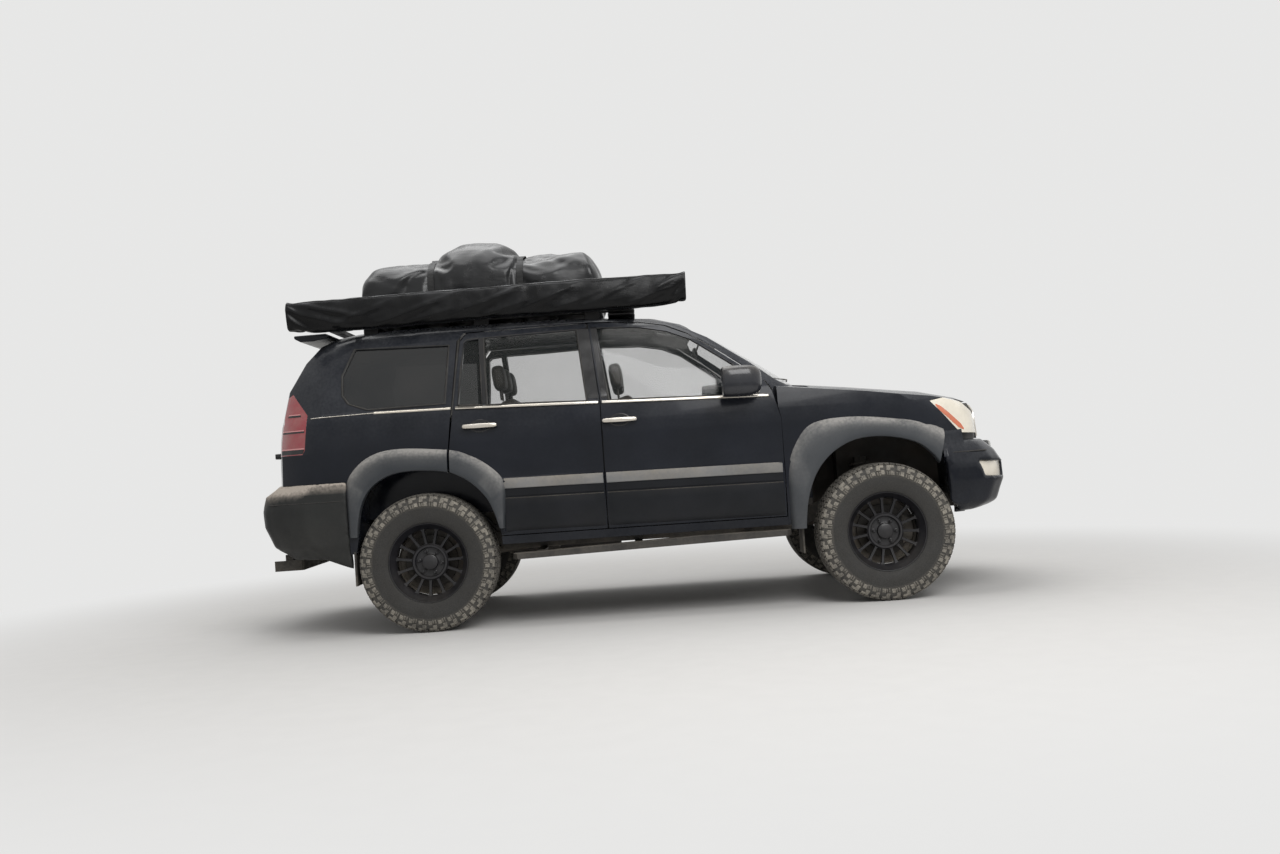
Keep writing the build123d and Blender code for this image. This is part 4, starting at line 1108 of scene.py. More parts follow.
for door, bodies, start, end in claddingLook["doors"]:
    spots = acrossRow(start, end)
    for (kind, finishName), profile in claddingLook["kinds"].items():
        rows = [[(x, claddingTop(x) - drop,
                  lift * (0.15 if x in (spots[0], spots[-1]) else 1.0) if lift > 0 else lift)
                 for drop, lift in profile] for x in spots]
        bothSides(f"cladding{kind}_{door}", skinStrip(rows), finishName, bodies, 28.0)
print("door cladding made")

# Upper corner of the front bumper, from its side up to the wing and the lamp; seams along both bumpers
browLook = {
    # Rows of height and distance out; the corner draws in past its middle station
    "profile": [(0.846, 0.9195), (0.86, 0.9175), (0.88, 0.91), (0.9, 0.9), (0.92, 0.8885), (0.94, 0.877),
                (0.96, 0.869), (0.98, 0.862), (1.002, 0.8545), (1.014, 0.846)],
    "spots": [1.882, 1.9, 1.92, 1.94, 1.96, 1.98, 2.0, 2.016, 2.032], "middle": 1.920,
    "slopes": (0.485, 0.12),
}
seamRows = [
    ("seamFront", "front_bumper_dressed", 0.872, 1.915, 2.180),
    ("seamRear", "rear_bumper_dressed", 0.826, -1.750, -2.240),
]
seamProfile = [(-0.004, -0.001), (-0.002, 0.0012), (0.002, 0.0012), (0.004, -0.001)]
rows = []
for x in browLook["spots"]:
    past = x - browLook["middle"]
    inward = browLook["slopes"][0] * max(0.0, past) - browLook["slopes"][1] * max(0.0, -past)
    rows.append([Vector((x, inward - out, z)) for z, out in browLook["profile"]])
bothSides("bumperBrow", openLoft(rows), "bodyPaint", chassisPair, 60.0)
for name, bumper, height, start, end in seamRows:
    rows = [[(x, height + rise, lift) for rise, lift in seamProfile] for x in spread(start, end, 24)]
    bothSides(name, skinStrip(rows, skinTree([bumper])), "sealRubber", chassisPair, 60.0)

# Trim cards inside the doors: height of each row, its lift, and how far the armrest stands further in
cardLook = {
    "doors": [("front", frontDoors, -0.085, 0.800), ("rear", rearDoors, -0.795, -0.335)],
    "rows": [(0.668, -0.004, 0.0), (0.674, 0.012, 0.0), (0.69, 0.018, 0.0), (0.8, 0.022, 0.0),
             (0.812, 0.018, 0.0),
             (0.822, 0.009, 0.0), (0.925, 0.009, 0.0), (0.948, 0.012, 0.018), (0.968, 0.012, 0.04),
             (0.99, 0.012, 0.044), (1.002, 0.012, 0.036), (1.01, 0.012, 0.004), (1.02, 0.012, 0.0),
             (1.18, 0.014, 0.0), (1.255, 0.016, 0.0), (1.268, 0.009, 0.0), (1.271, -0.004, 0.0)],
    "round": 0.012, "armrest": 0.14, "hem": 0.010,
}


def cardPart(tree, start, end):
    look = cardLook
    rows = []
    for x in [start, start + 0.004] + acrossRow(start + 0.012, end - 0.012, 0.04) + [end - 0.004, end]:
        near = min(x - start, end - x)
        edge = min(1.0, near / look["round"])
        middle = min(1.0, near / look["armrest"]) ** 0.5
        row = []
        for z, lift, rest in look["rows"]:
            hit = castOn(tree, (x, -0.55, z), (0, -1, 0))
            rise = lift if lift < 0 else lift * (0.3 + 0.7 * edge) + rest * middle
            row.append(Vector((x, (hit.y if hit else -0.79) + rise - (0.0 if edge > 0 else look["hem"]), z)))
        rows.append(row)
    return openLoft(rows)


for door, bodies, start, end in cardLook["doors"]:
    part = cardPart(skinTree([f"door_{door}_right"]), start, end)
    bothSides(f"doorCard_{door}", part, "dashPlastic", bodies, 40.0)

# Bright moulding under the windows
mouldingLook = {
    "section": [(-0.0105, -0.003), (-0.01, 0.002), (-0.007, 0.0045), (-0.002, 0.006), (0.003, 0.0058),
                (0.0075, 0.0042), (0.01, 0.0018), (0.0105, -0.003)],
    # Ends of each run, x and z, and how high it stands
    "runs": [
        ("front", 0.846, 1.2952, -0.168, 1.3222, 1.0, frontDoors),
        ("rear", -0.192, 1.3226, -1.062, 1.3456, 1.0, rearDoors),
        ("quarter", -1.092, 1.3462, -1.560, 1.3500, 0.8, chassisPair),
        ("tail", -1.562, 1.3490, -1.950, 1.3400, 0.28, chassisPair),
    ],
    "count": 24,
}
for name, startX, startZ, endX, endZ, full, bodies in mouldingLook["runs"]:
    count = mouldingLook["count"]
    spots = list(zip(spread(startX, endX, count), spread(startZ, endZ, count)))
    rows = []
    for x, z in spots:
        taper = full * (0.3 if (x, z) in (spots[0], spots[-1]) else 1.0)
        rows.append([(x, z + up * full, lift * (0.6 + 0.4 * taper) if lift > 0 else lift)
                     for up, lift in mouldingLook["section"]])
    bothSides("belt_" + name, skinStrip(rows), "brightTrim", bodies, 50.0)

# Pull handles with a dark cup behind each; the cup's gloss black is painted shade of the handle's recess
handleLook = {
    "doors": [("front", frontDoors, -0.068, 1.206), ("rear", rearDoors, -0.916, 1.226)],
    "half": 0.106, "cup": (0.064, 0.040), "middleY": -0.9285, "bow": 0.0045, "thick": 0.0125, "tall": 0.0155,
    # Share of the half length and size of the bar there
    "bar": [(0.0, 1.0), (0.25, 1.0), (0.55, 1.0), (0.80, 1.0), (0.93, 0.86), (0.985, 0.62), (1.0, 0.25)],
    # Scale and lift of the cup's rings
    "dish": [(0.02, 0.0006), (0.35, 0.0006), (0.74, 0.0010), (0.93, 0.0030), (1.0, 0.0022), (1.03, -0.003)],
}


def handlePart(x, z):
    look = handleLook
    rings = []
    for share, size in [(-share, size) for share, size in reversed(look["bar"][1:])] + look["bar"]:
        tall = (look["tall"] - 0.002 * abs(share)) * size
        y = look["middleY"] + look["bow"] * abs(share) ** 2.5
        points = [squared(turn, 0.7, 0.8) for turn in turns(16)]
        rings.append([Vector((x + share * look["half"], y + look["thick"] * b * size, z + tall * a))
                      for a, b in points])
    return loftRings(rings)


def cupPart(x, z):
    # An oval dish on the door behind the bar; the skin is read above and below the bar
    wide, tall = handleLook["cup"]
    reach = tall + 0.012
    rings = []
    for scale, lift in handleLook["dish"]:
        ring = []
        for turn in turns(28):
            a, b = wide * scale * math.cos(turn), tall * scale * math.sin(turn)
            below, above = outerY(x + a, z - reach), outerY(x + a, z + reach)
            y = below + (above - below) * (b + reach) / (2 * reach) - lift
            ring.append(Vector((x + a, y, z + b)))
        rings.append(ring)
    return loftRings(rings, True, False)


for door, bodies, x, z in handleLook["doors"]:
    bothSides("handle_" + door, handlePart(x, z), "brightTrim", bodies, 55.0)
    # The cup's gloss black is painted shade behind the handle
    bothSides("handleCup_" + door, cupPart(x, z), "glossBlack", bodies, 55.0)

# Flat film on the door posts. Corners run: top front, top rear, lower rear, lower front; x and z
filmRows = [
    ("filmFront", frontDoors, ((-0.176, 1.800), (-0.214, 1.800), (-0.170, 1.345), (-0.122, 1.345))),
    ("filmRear", rearDoors, ((-0.226, 1.800), (-0.300, 1.796), (-0.259, 1.350), (-0.187, 1.345))),
    ("filmRearTail", rearDoors, ((-0.884, 1.782), (-0.911, 1.780), (-0.896, 1.360), (-0.871, 1.360))),
]


def filmPart(corners, lift=0.0016, across=3, down=14):
    topFront, topRear, lowRear, lowFront = (Vector(corner) for corner in corners)
    rows = []
    for k in range(down + 1):
        first, last = topFront.lerp(lowFront, k / down), topRear.lerp(lowRear, k / down)
        rows.append([(*first.lerp(last, j / across), lift) for j in range(across + 1)])
    return skinStrip(rows)


for name, bodies, corners in filmRows:
    bothSides(name, filmPart(corners), "glossBlack", bodies, 30.0)

# Rubber round the glass: outline of each opening in metres, x and z
sealRows = [
    ("sealFront", frontDoors, [(0.655, 1.312), (0.655, 1.508), (0.401, 1.691), (0.262, 1.750), (0.096, 1.782),
                               (-0.182, 1.792), (-0.122, 1.333)]),
    ("sealRear", rearDoors, [(-0.262, 1.338), (-0.304, 1.790), (-0.880, 1.776), (-0.868, 1.354)]),
    ("sealLight", rearDoors, [(-0.899, 1.355), (-0.915, 1.774), (-0.985, 1.768), (-1.006, 1.750),
                              (-1.046, 1.368), (-1.030, 1.359)]),
    ("sealQuarter", chassisPair, [(-1.128, 1.378), (-1.102, 1.744), (-1.682, 1.756), (-1.755, 1.593),
                                  (-1.752, 1.469), (-1.715, 1.415), (-1.600, 1.372)]),
]
# Away from the glass, and lift from the frame
sealProfile = [(-0.004, -0.007), (-0.004, -0.001), (0.0, 0.0024), (0.006, 0.0028), (0.009, 0.0010),
               (0.0095, -0.002)]
for name, bodies, corners in sealRows:
    path = walkOutline(corners, 0.05, 1)
    path.append(path[0])
    middleX, middleZ = middleOf(path)
    rows = []
    for x, z in path:
        reach = math.hypot(x - middleX, z - middleZ)
        awayX, awayZ = (x - middleX) / reach, (z - middleZ) / reach
        frameY = outerY(x + awayX * 0.010, z + awayZ * 0.010)
        rows.append([Vector((x + awayX * out, frameY - lift, z + awayZ * out)) for out, lift in sealProfile])
    bothSides(name, openLoft(rows), "sealRubber", bodies, 50.0)

# Rubber tube in the gap behind the rear doors: x and z along it
weatherLine = [(-1.0905, 1.27), (-1.088, 1.30), (-1.077, 1.40), (-1.0665, 1.50), (-1.0565, 1.60),
               (-1.047, 1.70), (-1.042, 1.76), (-1.040, 1.79)]
weatherPath = [Vector((x, outerY(x - 0.035, z) + 0.016, z)) for x, z in weatherLine]
bothSides("weatherStrip", tubeAlong(weatherPath, 0.011), "sealRubber", chassisPair, 60.0)
print("mouldings, handles and seals made")

# Lamps
dressNode("headlamps", lampCream, 0.008, 40.0)
dressNode("tail_lamps", redLens, 0.010, 40.0)

# The amber flasher lies along the headlamp's outer edge
amberLook = {
    "start": (1.872, 1.172), "end": (2.050, 1.010), "across": (0.67, 0.74), "half": 0.015, "steps": 26,
    "section": [(-1.0, -0.002), (-0.95, 0.0022), (0.0, 0.0030), (0.95, 0.0022), (1.0, -0.002)],
}
rows = []
for k in range(amberLook["steps"] + 1):
    share = k / amberLook["steps"]
    x, z = (start + (end - start) * share for start, end in zip(amberLook["start"], amberLook["end"]))
    half = amberLook["half"] * min(1.0, 0.25 + 5 * min(share, 1 - share))
    rows.append([(x + half * side * amberLook["across"][0], z + half * side * amberLook["across"][1], lift)
                 for side, lift in amberLook["section"]])
bothSides("lampAmber", skinStrip(rows, lampTree, 0.0, -0.80), amberLens, chassisPair, 50.0)

# Strips that go round the tail lamps: middle height, half height, lift
tailLook = {
    "centre": (-2.05, -0.75), "turns": (182, 300), "samples": 26,
    "bands": [
        ("tailDivider_0", 1.363, 0.006, 0.0022, finish["glossBlack"]),
        ("tailDivider_1", 1.262, 0.005, 0.0022, finish["glossBlack"]),
        ("tailBase", 1.142, 0.014, 0.0026, finish["glossBlack"]),
        ("tailPink_0", 1.372, 0.0035, 0.0024, pinkLens),
        ("tailPink_1", 1.271, 0.0035, 0.0024, pinkLens),
        ("tailPink_2", 1.160, 0.0045, 0.0028, pinkLens),
    ],
}
for name, middle, half, lift, material in tailLook["bands"]:
    rows = []
    for turn in spread(*tailLook["turns"], tailLook["samples"]):
        outward = Vector((math.cos(math.radians(turn)), math.sin(math.radians(turn)), 0))
        row = []
        for share, rise in ((-1.0, -0.002), (-0.9, lift), (0.9, lift), (1.0, -0.002)):
            start = Vector((*tailLook["centre"], middle + half * share)) + outward * 0.8
            hit = castOn(tailTree, start, -outward)
            row.append(hit and hit + outward * rise)
        if all(row):
            rows.append(row)
    bothSides(name, openLoft(rows), material, chassisPair, 40.0)
print("lamps made")

# Door mirrors: a rounded shell that narrows forward, with its glass set in behind
mirrorLook = {
    "middle": (-0.9895, 1.3880),
    # x, shift sideways, half width, half height
    "rings": [(0.803, 0.03, 0.012, 0.02), (0.799, 0.026, 0.034, 0.046), (0.786, 0.018, 0.056, 0.07),
              (0.76, 0.008, 0.071, 0.084), (0.72, 0.002, 0.078, 0.091), (0.67, 0.0, 0.08, 0.0935),
              (0.61, 0.0, 0.0795, 0.0925), (0.577, 0.0, 0.0775, 0.0905), (0.567, 0.0, 0.0745, 0.0875),
              (0.564, 0.0, 0.07, 0.083), (0.574, 0.0, 0.0685, 0.0815)],
    "glass": [(0.574, 0.0, 0.0675, 0.0805), (0.5715, 0.0, 0.067, 0.08), (0.5712, 0.0, 0.03, 0.04)],
    # The arm runs from the door out into the shell: y and z
    "arm": [(-0.842, 1.340), (-0.880, 1.341), (-0.912, 1.345), (-0.935, 1.352)],
}
# A flat bar with its corners cut: across and up
barSection = [(-1, -0.7), (-0.8, -1), (0.8, -1), (1, -0.7), (1, 0.7), (0.8, 1), (-0.8, 1), (-1, 0.7)]


def roundedRings(rows, power=3.2, count=36):
    middleY, middleZ = mirrorLook["middle"]
    points = [squared(turn, 2 / power, 2 / power) for turn in turns(count)]
    return loftRings([[Vector((x, middleY + shift + halfY * a, middleZ + halfZ * b)) for a, b in points]
                      for x, shift, halfY, halfZ in rows])


arm = loftRings([[Vector((0.700 + 0.058 * a, y, z + 0.021 * b)) for a, b in barSection]
                 for y, z in mirrorLook["arm"]])
mirrorBodies = [nodes["mirror_" + side]["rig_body"] for side in ("right", "left")]
bothSides("mirrorShell", joinParts([roundedRings(mirrorLook["rings"]), arm]), "mirrorShell", mirrorBodies,
          50.0, "mirror_{}")
bothSides("mirrorGlass", roundedRings(mirrorLook["glass"]), "mirrorGlass", mirrorBodies, 40.0)
print("mirrors made")


# Seats: padded blocks with drawn-in sides and sewn channels
seatLook = {
    "frontPlace": (0.060, 0.370, 0.720), "frontWidth": 0.500, "rearPlace": (-0.700, 0.000, 0.760),
    "rearWidth": 1.080, "backLean": 0.315, "rearRests": (-0.330, 0.0, 0.330), "border": 0.62,
}


def padPart(size, place, lean, power, channels=0, depth=0.006, cuts=16):
    # A crowned block about its own middle: channels are sewn lines across its upper face
    work = bmesh.new()
    bmesh.ops.create_cube(work, size=2.0)
    bmesh.ops.subdivide_edges(work, edges=work.edges[:], cuts=cuts, use_grid_fill=True)
    turn = Matrix.Rotation(-lean, 4, "Y")
    border = seatLook["border"]
    vertices = []
    for vertex in work.verts:
        u, v, w = vertex.co / sum(abs(part) ** power for part in vertex.co) ** (1 / power)
        drop = 0.0
        if channels and w > 0.2:
            phase = (u * 0.5 + 0.5) * channels
            line = math.exp(-(abs(phase - round(phase)) / 0.07) ** 2) * min(1.0, (1.0 - abs(v)) * 6)
            drop = depth * max(line, math.exp(-((abs(v) - border) / 0.03) ** 2))
            drop -= 0.014 * max(0.0, (abs(v) - border) / (1 - border)) * (1 - abs(v)) * 4
        spot = Vector((u * size[0] / 2, v * size[1] / 2, w * size[2] / 2 - drop))
        vertices.append(turn @ spot + Vector(place))
    faces = [tuple(vertex.index for vertex in face.verts) for face in work.faces]
    work.free()
    return vertices, faces


def seatParts(place, width, rests):
    x, y, z = place
    parts = [
        padPart((0.500, width - 0.012, 0.120), (x + 0.262, y, z + 0.076), -0.035, 5.0, 4),
        padPart((0.580, width - 0.016, 0.118), (x - 0.010, y, z + 0.370),
                seatLook["backLean"] - math.pi / 2, 5.5, 5),
    ]
    for rest in rests:
        middle = y + rest
        parts.append(padPart((0.165, 0.236, 0.086), (x - 0.136, middle, z + 0.786), 0.12 - math.pi / 2, 3.4,
                             cuts=8))
        parts += [tubeAlong([(x - 0.128, middle + side, z + 0.640), (x - 0.134, middle + side, z + 0.735)],
                            0.006)
                  for side in (-0.055, 0.055)]
    return joinParts(parts)


x, y, z = seatLook["frontPlace"]
for name, place, width, rests in (
    ("frontSeat_right", (x, -y, z), seatLook["frontWidth"], (0.0,)),
    ("frontSeat_left", (x, y, z), seatLook["frontWidth"], (0.0,)),
    ("rearBench", seatLook["rearPlace"], seatLook["rearWidth"], seatLook["rearRests"]),
):
    seat = makePiece(name, seatParts(place, width, rests), finish["seatCover"], "chassis", 60.0)
    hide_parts("seats")

# Seat rails with their legs, and belts that run down the door posts to the front seats
railParts = []
beltParts = []
for side in (-1, 1):
    for rail in (-0.17, 0.17):
        y = side * seatLook["frontPlace"][1] + rail
        railParts.append(tubeAlong([(0.09, y, 0.610), (0.49, y, 0.610)], 0.014))
        railParts.append(tubeAlong([(0.12, y, 0.610), (0.16, y, 0.728)], 0.012))
        railParts.append(tubeAlong([(0.46, y, 0.610), (0.44, y, 0.728)], 0.012))
    belt = [(-0.215, 0.690, 1.620), (-0.222, 0.735, 1.300), (-0.222, 0.745, 0.900)]
    beltParts.append(loftRings([[Vector((x + aside, side * (y - inner), z)) for aside, inner in (
        (-0.023, 0.0), (0.023, 0.0), (0.023, 0.002), (-0.023, 0.002))] for x, y, z in belt]))
makePiece("seatRails", joinParts(railParts), finish["frameBlack"], "chassis", 50.0)
makePiece("seatBelts", joinParts(beltParts), strapWeb, "chassis", 40.0)

# Steering wheel: a padded ring, three spokes, a boss and its column
wheelLook = {
    "place": (0.545, 0.370, 1.150), "tilt": 62.0, "ring": 0.180, "grip": 0.0145, "steps": 56, "sides": 12,
    "spokes": (8, 172, 270),
    # Along a spoke: radius, half width, half thickness, height
    "spoke": [(0.040, 0.036, 0.012, -0.014), (0.090, 0.026, 0.009, -0.012), (0.140, 0.019, 0.007, -0.006),
              (0.176, 0.020, 0.007, 0.0)],
    "section": [(-1, -0.5), (-0.7, -1), (0.7, -1), (1, -0.5), (1, 0.5), (0.7, 1), (-0.7, 1), (-1, 0.5)],
    # Rings of the boss: scale and height
    "boss": [(0.55, -0.034), (0.95, -0.026), (1.0, -0.008), (0.92, 0.006), (0.55, 0.012), (0.05, 0.013)],
}


def steeringPart():
    look = wheelLook
    steps, sides = look["steps"], look["sides"]
    ring = []
    for turn in turns(steps):
        grip = look["grip"] * (1.0 + 0.10 * math.cos(6 * turn))
        for roll in turns(sides):
            radius = look["ring"] + grip * math.cos(roll)
            ring.append(Vector((radius * math.cos(turn), radius * math.sin(turn),
                                grip * 0.9 * math.sin(roll))))
    faces = []
    for k in range(steps):
        near, far = k * sides, ((k + 1) % steps) * sides
        faces += [(near + j, far + j, far + (j + 1) % sides, near + (j + 1) % sides) for j in range(sides)]
    parts = [(ring, faces)]
    for turn in (math.radians(value) for value in look["spokes"]):
        along = Vector((math.cos(turn), math.sin(turn), 0))
        across = Vector((-math.sin(turn), math.cos(turn), 0))
        parts.append(loftRings([[along * radius + across * wide * a + Vector((0, 0, sink + thick * b))
                                 for a, b in look["section"]]
                                for radius, wide, thick, sink in look["spoke"]]))
    parts.append(loftRings([[Vector((0.070 * size * math.cos(turn), 0.058 * size * math.sin(turn), z))
                             for turn in turns(28)] for size, z in look["boss"]]))
    return joinParts(parts)


quarterTurn = Matrix.Rotation(math.radians(-90), 4, "Z")
leanBack = Matrix.Rotation(math.radians(-wheelLook["tilt"]), 4, "Y") @ quarterTurn
wheelPart = movedPart(steeringPart(), Matrix.Translation(wheelLook["place"]) @ leanBack)
column = tubeAlong([(0.553, 0.370, 1.146), (0.600, 0.370, 1.121), (0.690, 0.370, 1.072)], 0.032, 14)
stalks = [tubeAlong([(0.585, 0.370 + side * 0.030, 1.128), (0.575, 0.370 + side * 0.130, 1.135),
                     (0.570, 0.370 + side * 0.150, 1.136)], 0.0065) for side in (-1, 1)]
steering = makePiece("steeringWheel", joinParts([wheelPart, column] + stalks), finish["dashPlastic"],
                     "chassis", 50.0)
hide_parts("steering_wheel")

# Inside mirror on its stalk
fittings = [padPart((0.022, 0.235, 0.062), (0.470, 0.0, 1.655), 0.25, 3.5, cuts=8),
            tubeAlong([(0.478, 0.0, 1.665), (0.500, 0.0, 1.715), (0.490, 0.0, 1.745)], 0.007)]
makePiece("cabinFittings", joinParts(fittings), finish["dashPlastic"], "chassis", 50.0)
print("cabin furnished")

# Underbody: coils on all four springs, and a shield behind each brake disc
springLook = {
    # x, y, low end, high end, coil radius, turns
    "coils": [(-1.285, 0.578, 0.470, 0.618, 0.066, 5.0), (1.443, 0.478, 0.600, 0.850, 0.062, 6.0)],
    "wire": 0.0075, "stepsPerTurn": 14, "damper": [(-1.345, 0.392, 0.440), (-1.362, 0.388, 0.545)],
}


def coilPart(x, y, low, high, radius, count):
    steps = int(count * springLook["stepsPerTurn"])
    points = []
    for k in range(steps + 1):
        turn = 2 * math.pi * count * k / steps
        points.append((x + radius * math.cos(turn), y + radius * math.sin(turn),
                       low + (high - low) * k / steps))
    return tubeAlong(points, springLook["wire"], 6)


springParts = []
for side in (-1, 1):
    rear, front = ((x, side * y, *others) for x, y, *others in springLook["coils"])
    damper = tubeAlong([(x, side * y, z) for x, y, z in springLook["damper"]], 0.033, 14)
    springParts += [coilPart(*rear), damper, coilPart(*front)]
makePiece("coilSprings", joinParts(springParts), finish["castDark"], "chassis", 60.0)

shieldPart = lathe([(-0.06, 0.08), (-0.06, 0.196), (-0.024, 0.203), (-0.024, 0.2044), (-0.064, 0.2044),
                    (-0.066, 0.08)], 72)
for name, (x, side, turned) in wheels.items():
    carrier = "chassis" if name.startswith("rear") else "knuckle_" + name.split("_")[1]
    makePiece("brakeShield_" + name, movedPart(shieldPart, wheelPlace(x, side)), finish["castDark"],
              carrier, 40.0)
print("underbody fitted")

# Rear end: blank plate, pull handle, wiper; front end: blank plate, grille surround and lamp sill
gateTree = skinTree(["tailgate", "tailgate_glass"])
noseTree = skinTree(["grille", "front_bumper", "bonnet"])


def rearX(y, z, fallback=-2.24):
    hit = castOn(gateTree, (-3.0, y, z), (1, 0, 0))
    return hit.x if hit else fallback


def frontX(y, z, fallback=2.26):
    hit = castOn(noseTree, (3.0, y, z), (-1, 0, 0))
    return hit.x if hit else fallback


def slabPart(middle, half, surface, outward, thick):
    # A thin plate with round corners set on the surface; outward is 1 at the front and -1 at the rear
    (middleY, middleZ), (halfY, halfZ) = middle, half
    base = max(outward * surface(middleY + a * halfY, middleZ + b * halfZ)
               for a, b in ((-1, 0), (1, 0), (0, -1), (0, 1), (0, 0)))
    outline = [squared(turn, 0.25, 0.25) for turn in turns(32)]
    rings = []
    for shrink, height in ((0.0, -0.006), (0.0, thick * 0.6), (0.04, thick), (0.10, thick),
                           (0.14, thick * 0.75), (0.98, thick * 0.75)):
        rings.append([Vector((outward * (base + height), middleY + a * halfY * (1 - shrink),
                              middleZ + b * halfZ * (1 - shrink))) for a, b in outline])
    return loftRings(rings)


# Plates, bar and pull: middle and half size across and up, thickness
for name, middle, half, thick, finishName, body in (
    ("plateRear", (0.0, 1.010), (0.155, 0.078), 0.008, "plateBlank", "tailgate"),
    ("gateBar", (0.0, 1.128), (0.240, 0.024), 0.020, "brightTrim", "tailgate"),
    ("gatePull", (-0.500, 1.128), (0.062, 0.018), 0.024, "glossBlack", "tailgate"),
    ("plateFront", (0.0, 0.850), (0.155, 0.078), 0.008, "plateBlank", "chassis"),
):
    surface, outward = (rearX, -1) if body == "tailgate" else (frontX, 1)
    makePiece(name, slabPart(middle, half, surface, outward, thick), finish[finishName], body, 35.0)

wiperPath = [(rearX(y, z) - off, y, z) for y, z, off in (
    (0.02, 1.385, 0.022), (-0.16, 1.410, 0.018), (-0.36, 1.432, 0.014))]
pivotX, pivotY, pivotZ = wiperPath[0]
wiper = joinParts([tubeAlong(wiperPath, 0.006),
                   tubeAlong([(x + 0.006, y, z + 0.012) for x, y, z in wiperPath[1:]],
                                                          0.004, 6),
                   tubeAlong([(pivotX + shift, pivotY, pivotZ) for shift in (0.026, -0.008)], 0.018, 16)])
makePiece("rearWiper", wiper, finish["blackPlastic"], "tailgate", 45.0)

# Bright frame round the grille: y and z of its inner corners
surroundLook = {
    "corners": [(-0.520, 0.968), (0.520, 0.968), (0.530, 1.095), (0.480, 1.156), (-0.480, 1.156),
                (-0.530, 1.095)],
    "wide": 0.020, "lift": 0.007,
    # Share of the width outward, share of the lift; None is the edge behind the surface
    "section": [(0.0, None), (0.0, 0.6), (0.3, 1.0), (0.7, 1.0), (1.0, 0.5), (1.0, None)],
}


def surroundPart():
    look = surroundLook
    wide = look["wide"]
    path = walkOutline(look["corners"], 0.05, 2)
    middleY, middleZ = middleOf(path)
    rings = []
    for y, z in path:
        away = Vector((y - middleY, (z - middleZ) * 2.0)).normalized() * wide
        x = frontX(y + away.x * 0.5, z + away.y * 0.5)
        rings.append([Vector((x + (-0.010 if rise is None else look["lift"] * rise), y + away.x * share,
                              z + away.y * share)) for share, rise in look["section"]])
    return openLoft(rings + rings[:1])


makePiece("grilleFrame", surroundPart(), finish["brightTrim"], "chassis", 50.0)

# Dark filler between each headlamp and the bumper: how deep behind the lamp's skin, and height
sillLook = {
    "middle": (1.90, -0.62, 1.010), "turns": (-96, -8), "samples": 14,
    "section": [(0.060, 0.900), (0.012, 0.930), (0.003, 0.965), (0.003, 1.000), (0.050, 1.004)],
}
sillRows = []
for turn in spread(*sillLook["turns"], sillLook["samples"]):
    outward = Vector((math.cos(math.radians(turn)), math.sin(math.radians(turn)), 0))
    hit = castOn(lampTree, Vector(sillLook["middle"]) + outward * 0.9, -outward)
    if hit:
        sillRows.append([hit - outward * deep + Vector((0, 0, z - sillLook["middle"][2]))
                         for deep, z in sillLook["section"]])
bothSides("lampSill", openLoft(sillRows), "glossBlack", chassisPair, 40.0)

# Wipers on the windscreen's foot
screenTree = skinTree(["windscreen", "bonnet", "bulkhead"])
wiperParts = []
for startY, endY in ((0.10, 0.62), (-0.52, 0.02)):
    hits = [castOn(screenTree, (2.5, y, z), (-1, 0, 0))
            for y, z in zip(spread(startY, endY, 8), spread(1.385, 1.440, 8))]
    wiperParts.append(tubeAlong([hit + Vector((0.012, 0, 0.006)) for hit in hits if hit], 0.005, 6))
makePiece("screenWipers", joinParts(wiperParts), finish["blackPlastic"], "chassis", 45.0)

# Three fins that close the rack's front end: x and y of their outline
finOutline = [(-0.100, -0.640), (0.040, -0.640), (0.066, -0.610), (0.071, -0.560), (0.071, 0.560),
              (0.066, 0.610), (0.040, 0.640), (-0.100, 0.640)]
finParts = [boxBetween(finOutline, lambda a, b: Vector((a, b, z - 0.003 - 0.02 * (a + 0.1))),
                       lambda a, b: Vector((a, b, z + 0.003 - 0.02 * (a + 0.1))))
                       for z in (1.882, 1.912, 1.942)]
makePiece("rackFins", joinParts(finParts), finish["rackBlack"], "chassis", 30.0)
print("ends finished")


# Floor, light and camera
studio = {
    "floorSize": 60.0, "floorColour": (0.60, 0.59, 0.575), "backColour": (0.80, 0.80, 0.795),
    "fade": (2.7, 6.0), "worldLight": 0.55,
    # Area lights: power, place, size and the point that each looks at
    "lights": {
        "keyLight": (430.0, (2.5, -6.5, 6.0), 5.0, (0, 0, 0.8)),
        "topLight": (360.0, (-1.0, 1.0, 7.5), 7.0, (0, 0, 1.0)),
    },
}


def makeBackdrop():
    # The floor keeps its shadow near the vehicle and fades to the plain background further out
    material, tree, shader, place = startMaterial("floorPale")
    near, far = studio["floorColour"], studio["backColour"]
    grain = noiseFactor(tree, place, 7.0, 6.0, 0.3, 0.7)
    colour = mixColour(tree, grain, near, tuple(0.97 * part for part in near))
    setInputs(tree, shader, {"Base Color": colour, "Roughness": 0.9})
    distance = addNode(tree, "ShaderNodeVectorMath", {0: place}, operation="LENGTH").outputs["Value"]
    fade = mapRange(tree, distance, *studio["fade"], interpolation_type="SMOOTHSTEP")
    seen = addNode(tree, "ShaderNodeLightPath").outputs["Is Camera Ray"]
    glow = addNode(tree, "ShaderNodeEmission", {"Color": (*far, 1.0), "Strength": 1.0})
    mix = addNode(tree, "ShaderNodeMixShader", {0: times(tree, fade, seen), 1: shader.outputs["BSDF"],
                                                2: glow.outputs["Emission"]})
    output = [node for node in tree.nodes if node.type == "OUTPUT_MATERIAL"][0]
    setInputs(tree, output, {"Surface": mix.outputs["Shader"]})
    return material


def addToScene(name, data):
    thing = bpy.data.objects.new(name, data)
    bpy.context.scene.collection.objects.link(thing)
    return thing


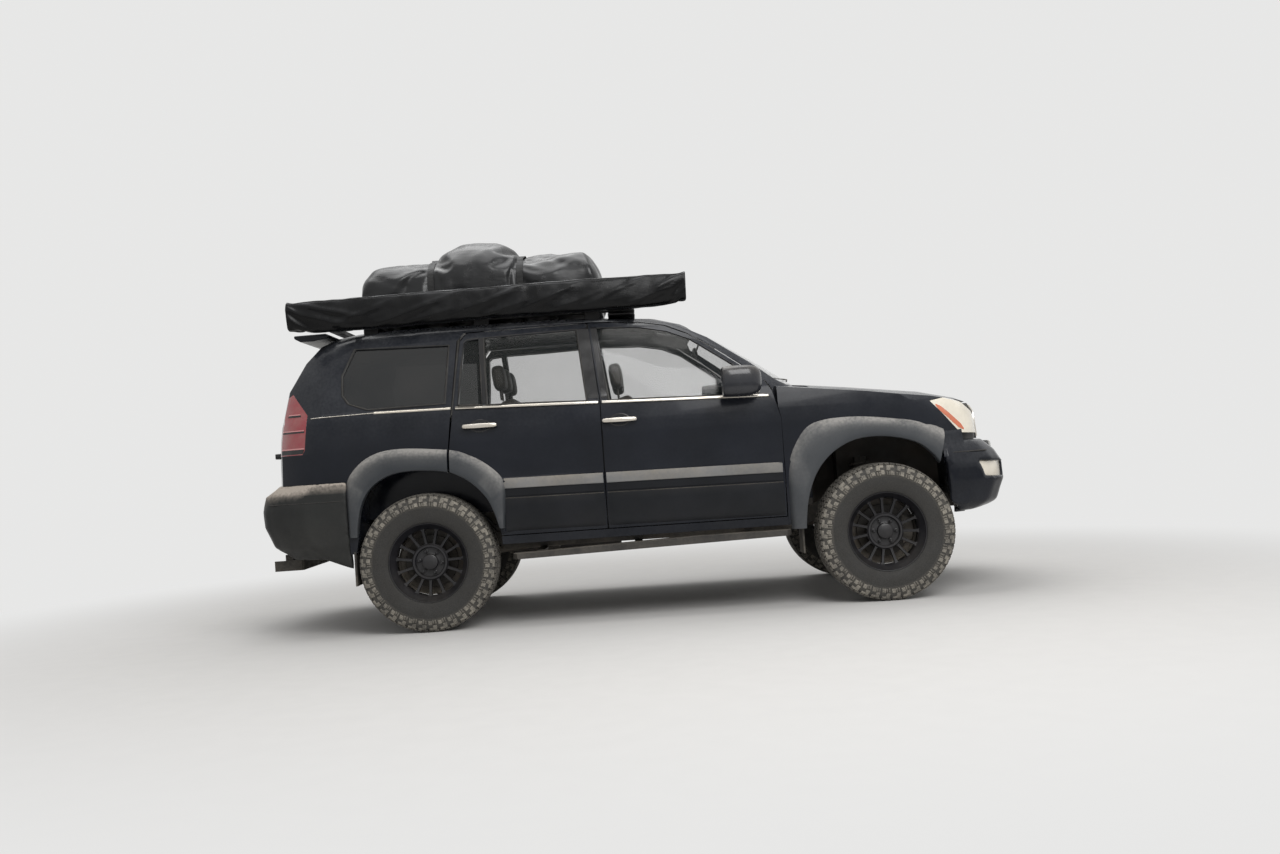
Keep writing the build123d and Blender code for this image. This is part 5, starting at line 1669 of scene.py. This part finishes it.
reach = studio["floorSize"]
floorMesh = bpy.data.meshes.new("floor")
floorMesh.from_pydata([(-reach, -reach, 0), (reach, -reach, 0), (reach, reach, 0), (-reach, reach, 0)], [],
                      [(0, 1, 2, 3)])
floorMesh.materials.append(makeBackdrop())
addToScene("floor", floorMesh)

world = bpy.data.worlds.new("studio")
bpy.context.scene.world = world
world.use_nodes = True
rays = addNode(world.node_tree, "ShaderNodeLightPath")
shown = combine(world.node_tree, "MAXIMUM", rays.outputs["Is Camera Ray"],
                rays.outputs["Is Transmission Ray"])
shown = combine(world.node_tree, "MAXIMUM", shown, rays.outputs["Is Glossy Ray"])
setInputs(world.node_tree, world.node_tree.nodes["Background"], {
    "Color": (*studio["backColour"], 1.0),
    "Strength": mapRange(world.node_tree, shown, 0.0, 1.0, studio["worldLight"], 1.0)})

for name, (power, place, size, target) in studio["lights"].items():
    lightData = bpy.data.lights.new(name, "AREA")
    lightData.energy = power
    lightData.shape = "SQUARE"
    lightData.size = size
    light = addToScene(name, lightData)
    light.location = place
    light.rotation_euler = (Vector(target) - Vector(place)).to_track_quat("-Z", "Y").to_euler()

# The camera stands level with the wheel arches on the right side and leans a little
view = {"place": (-0.011, -8.265, 0.976), "yaw": 0.5, "pitch": 1.38, "roll": -3.88, "focalPixels": 1213.0,
        "imageWidth": 1280.0, "sensor": 36.0}
yaw, pitch, roll = (math.radians(view[key]) for key in ("yaw", "pitch", "roll"))
ahead = Vector((math.sin(yaw), math.cos(yaw), 0.0))
right = Vector((math.cos(yaw), -math.sin(yaw), 0.0))
rise = Vector((0.0, 0.0, 1.0))
ahead, rise = (ahead * math.cos(pitch) + rise * math.sin(pitch),
               rise * math.cos(pitch) - ahead * math.sin(pitch))
right, rise = (right * math.cos(roll) + rise * math.sin(roll), rise * math.cos(roll) - right * math.sin(roll))
cameraData = bpy.data.cameras.new("camera")
cameraData.sensor_width = view["sensor"]
cameraData.lens = view["focalPixels"] / view["imageWidth"] * view["sensor"]
camera = addToScene("camera", cameraData)
camera.matrix_world = Matrix.Translation(view["place"]) @ Matrix((right, rise, -ahead)).transposed().to_4x4()
bpy.context.scene.camera = camera
bpy.context.scene.view_settings.view_transform = "Standard"
print("floor, light and camera set")
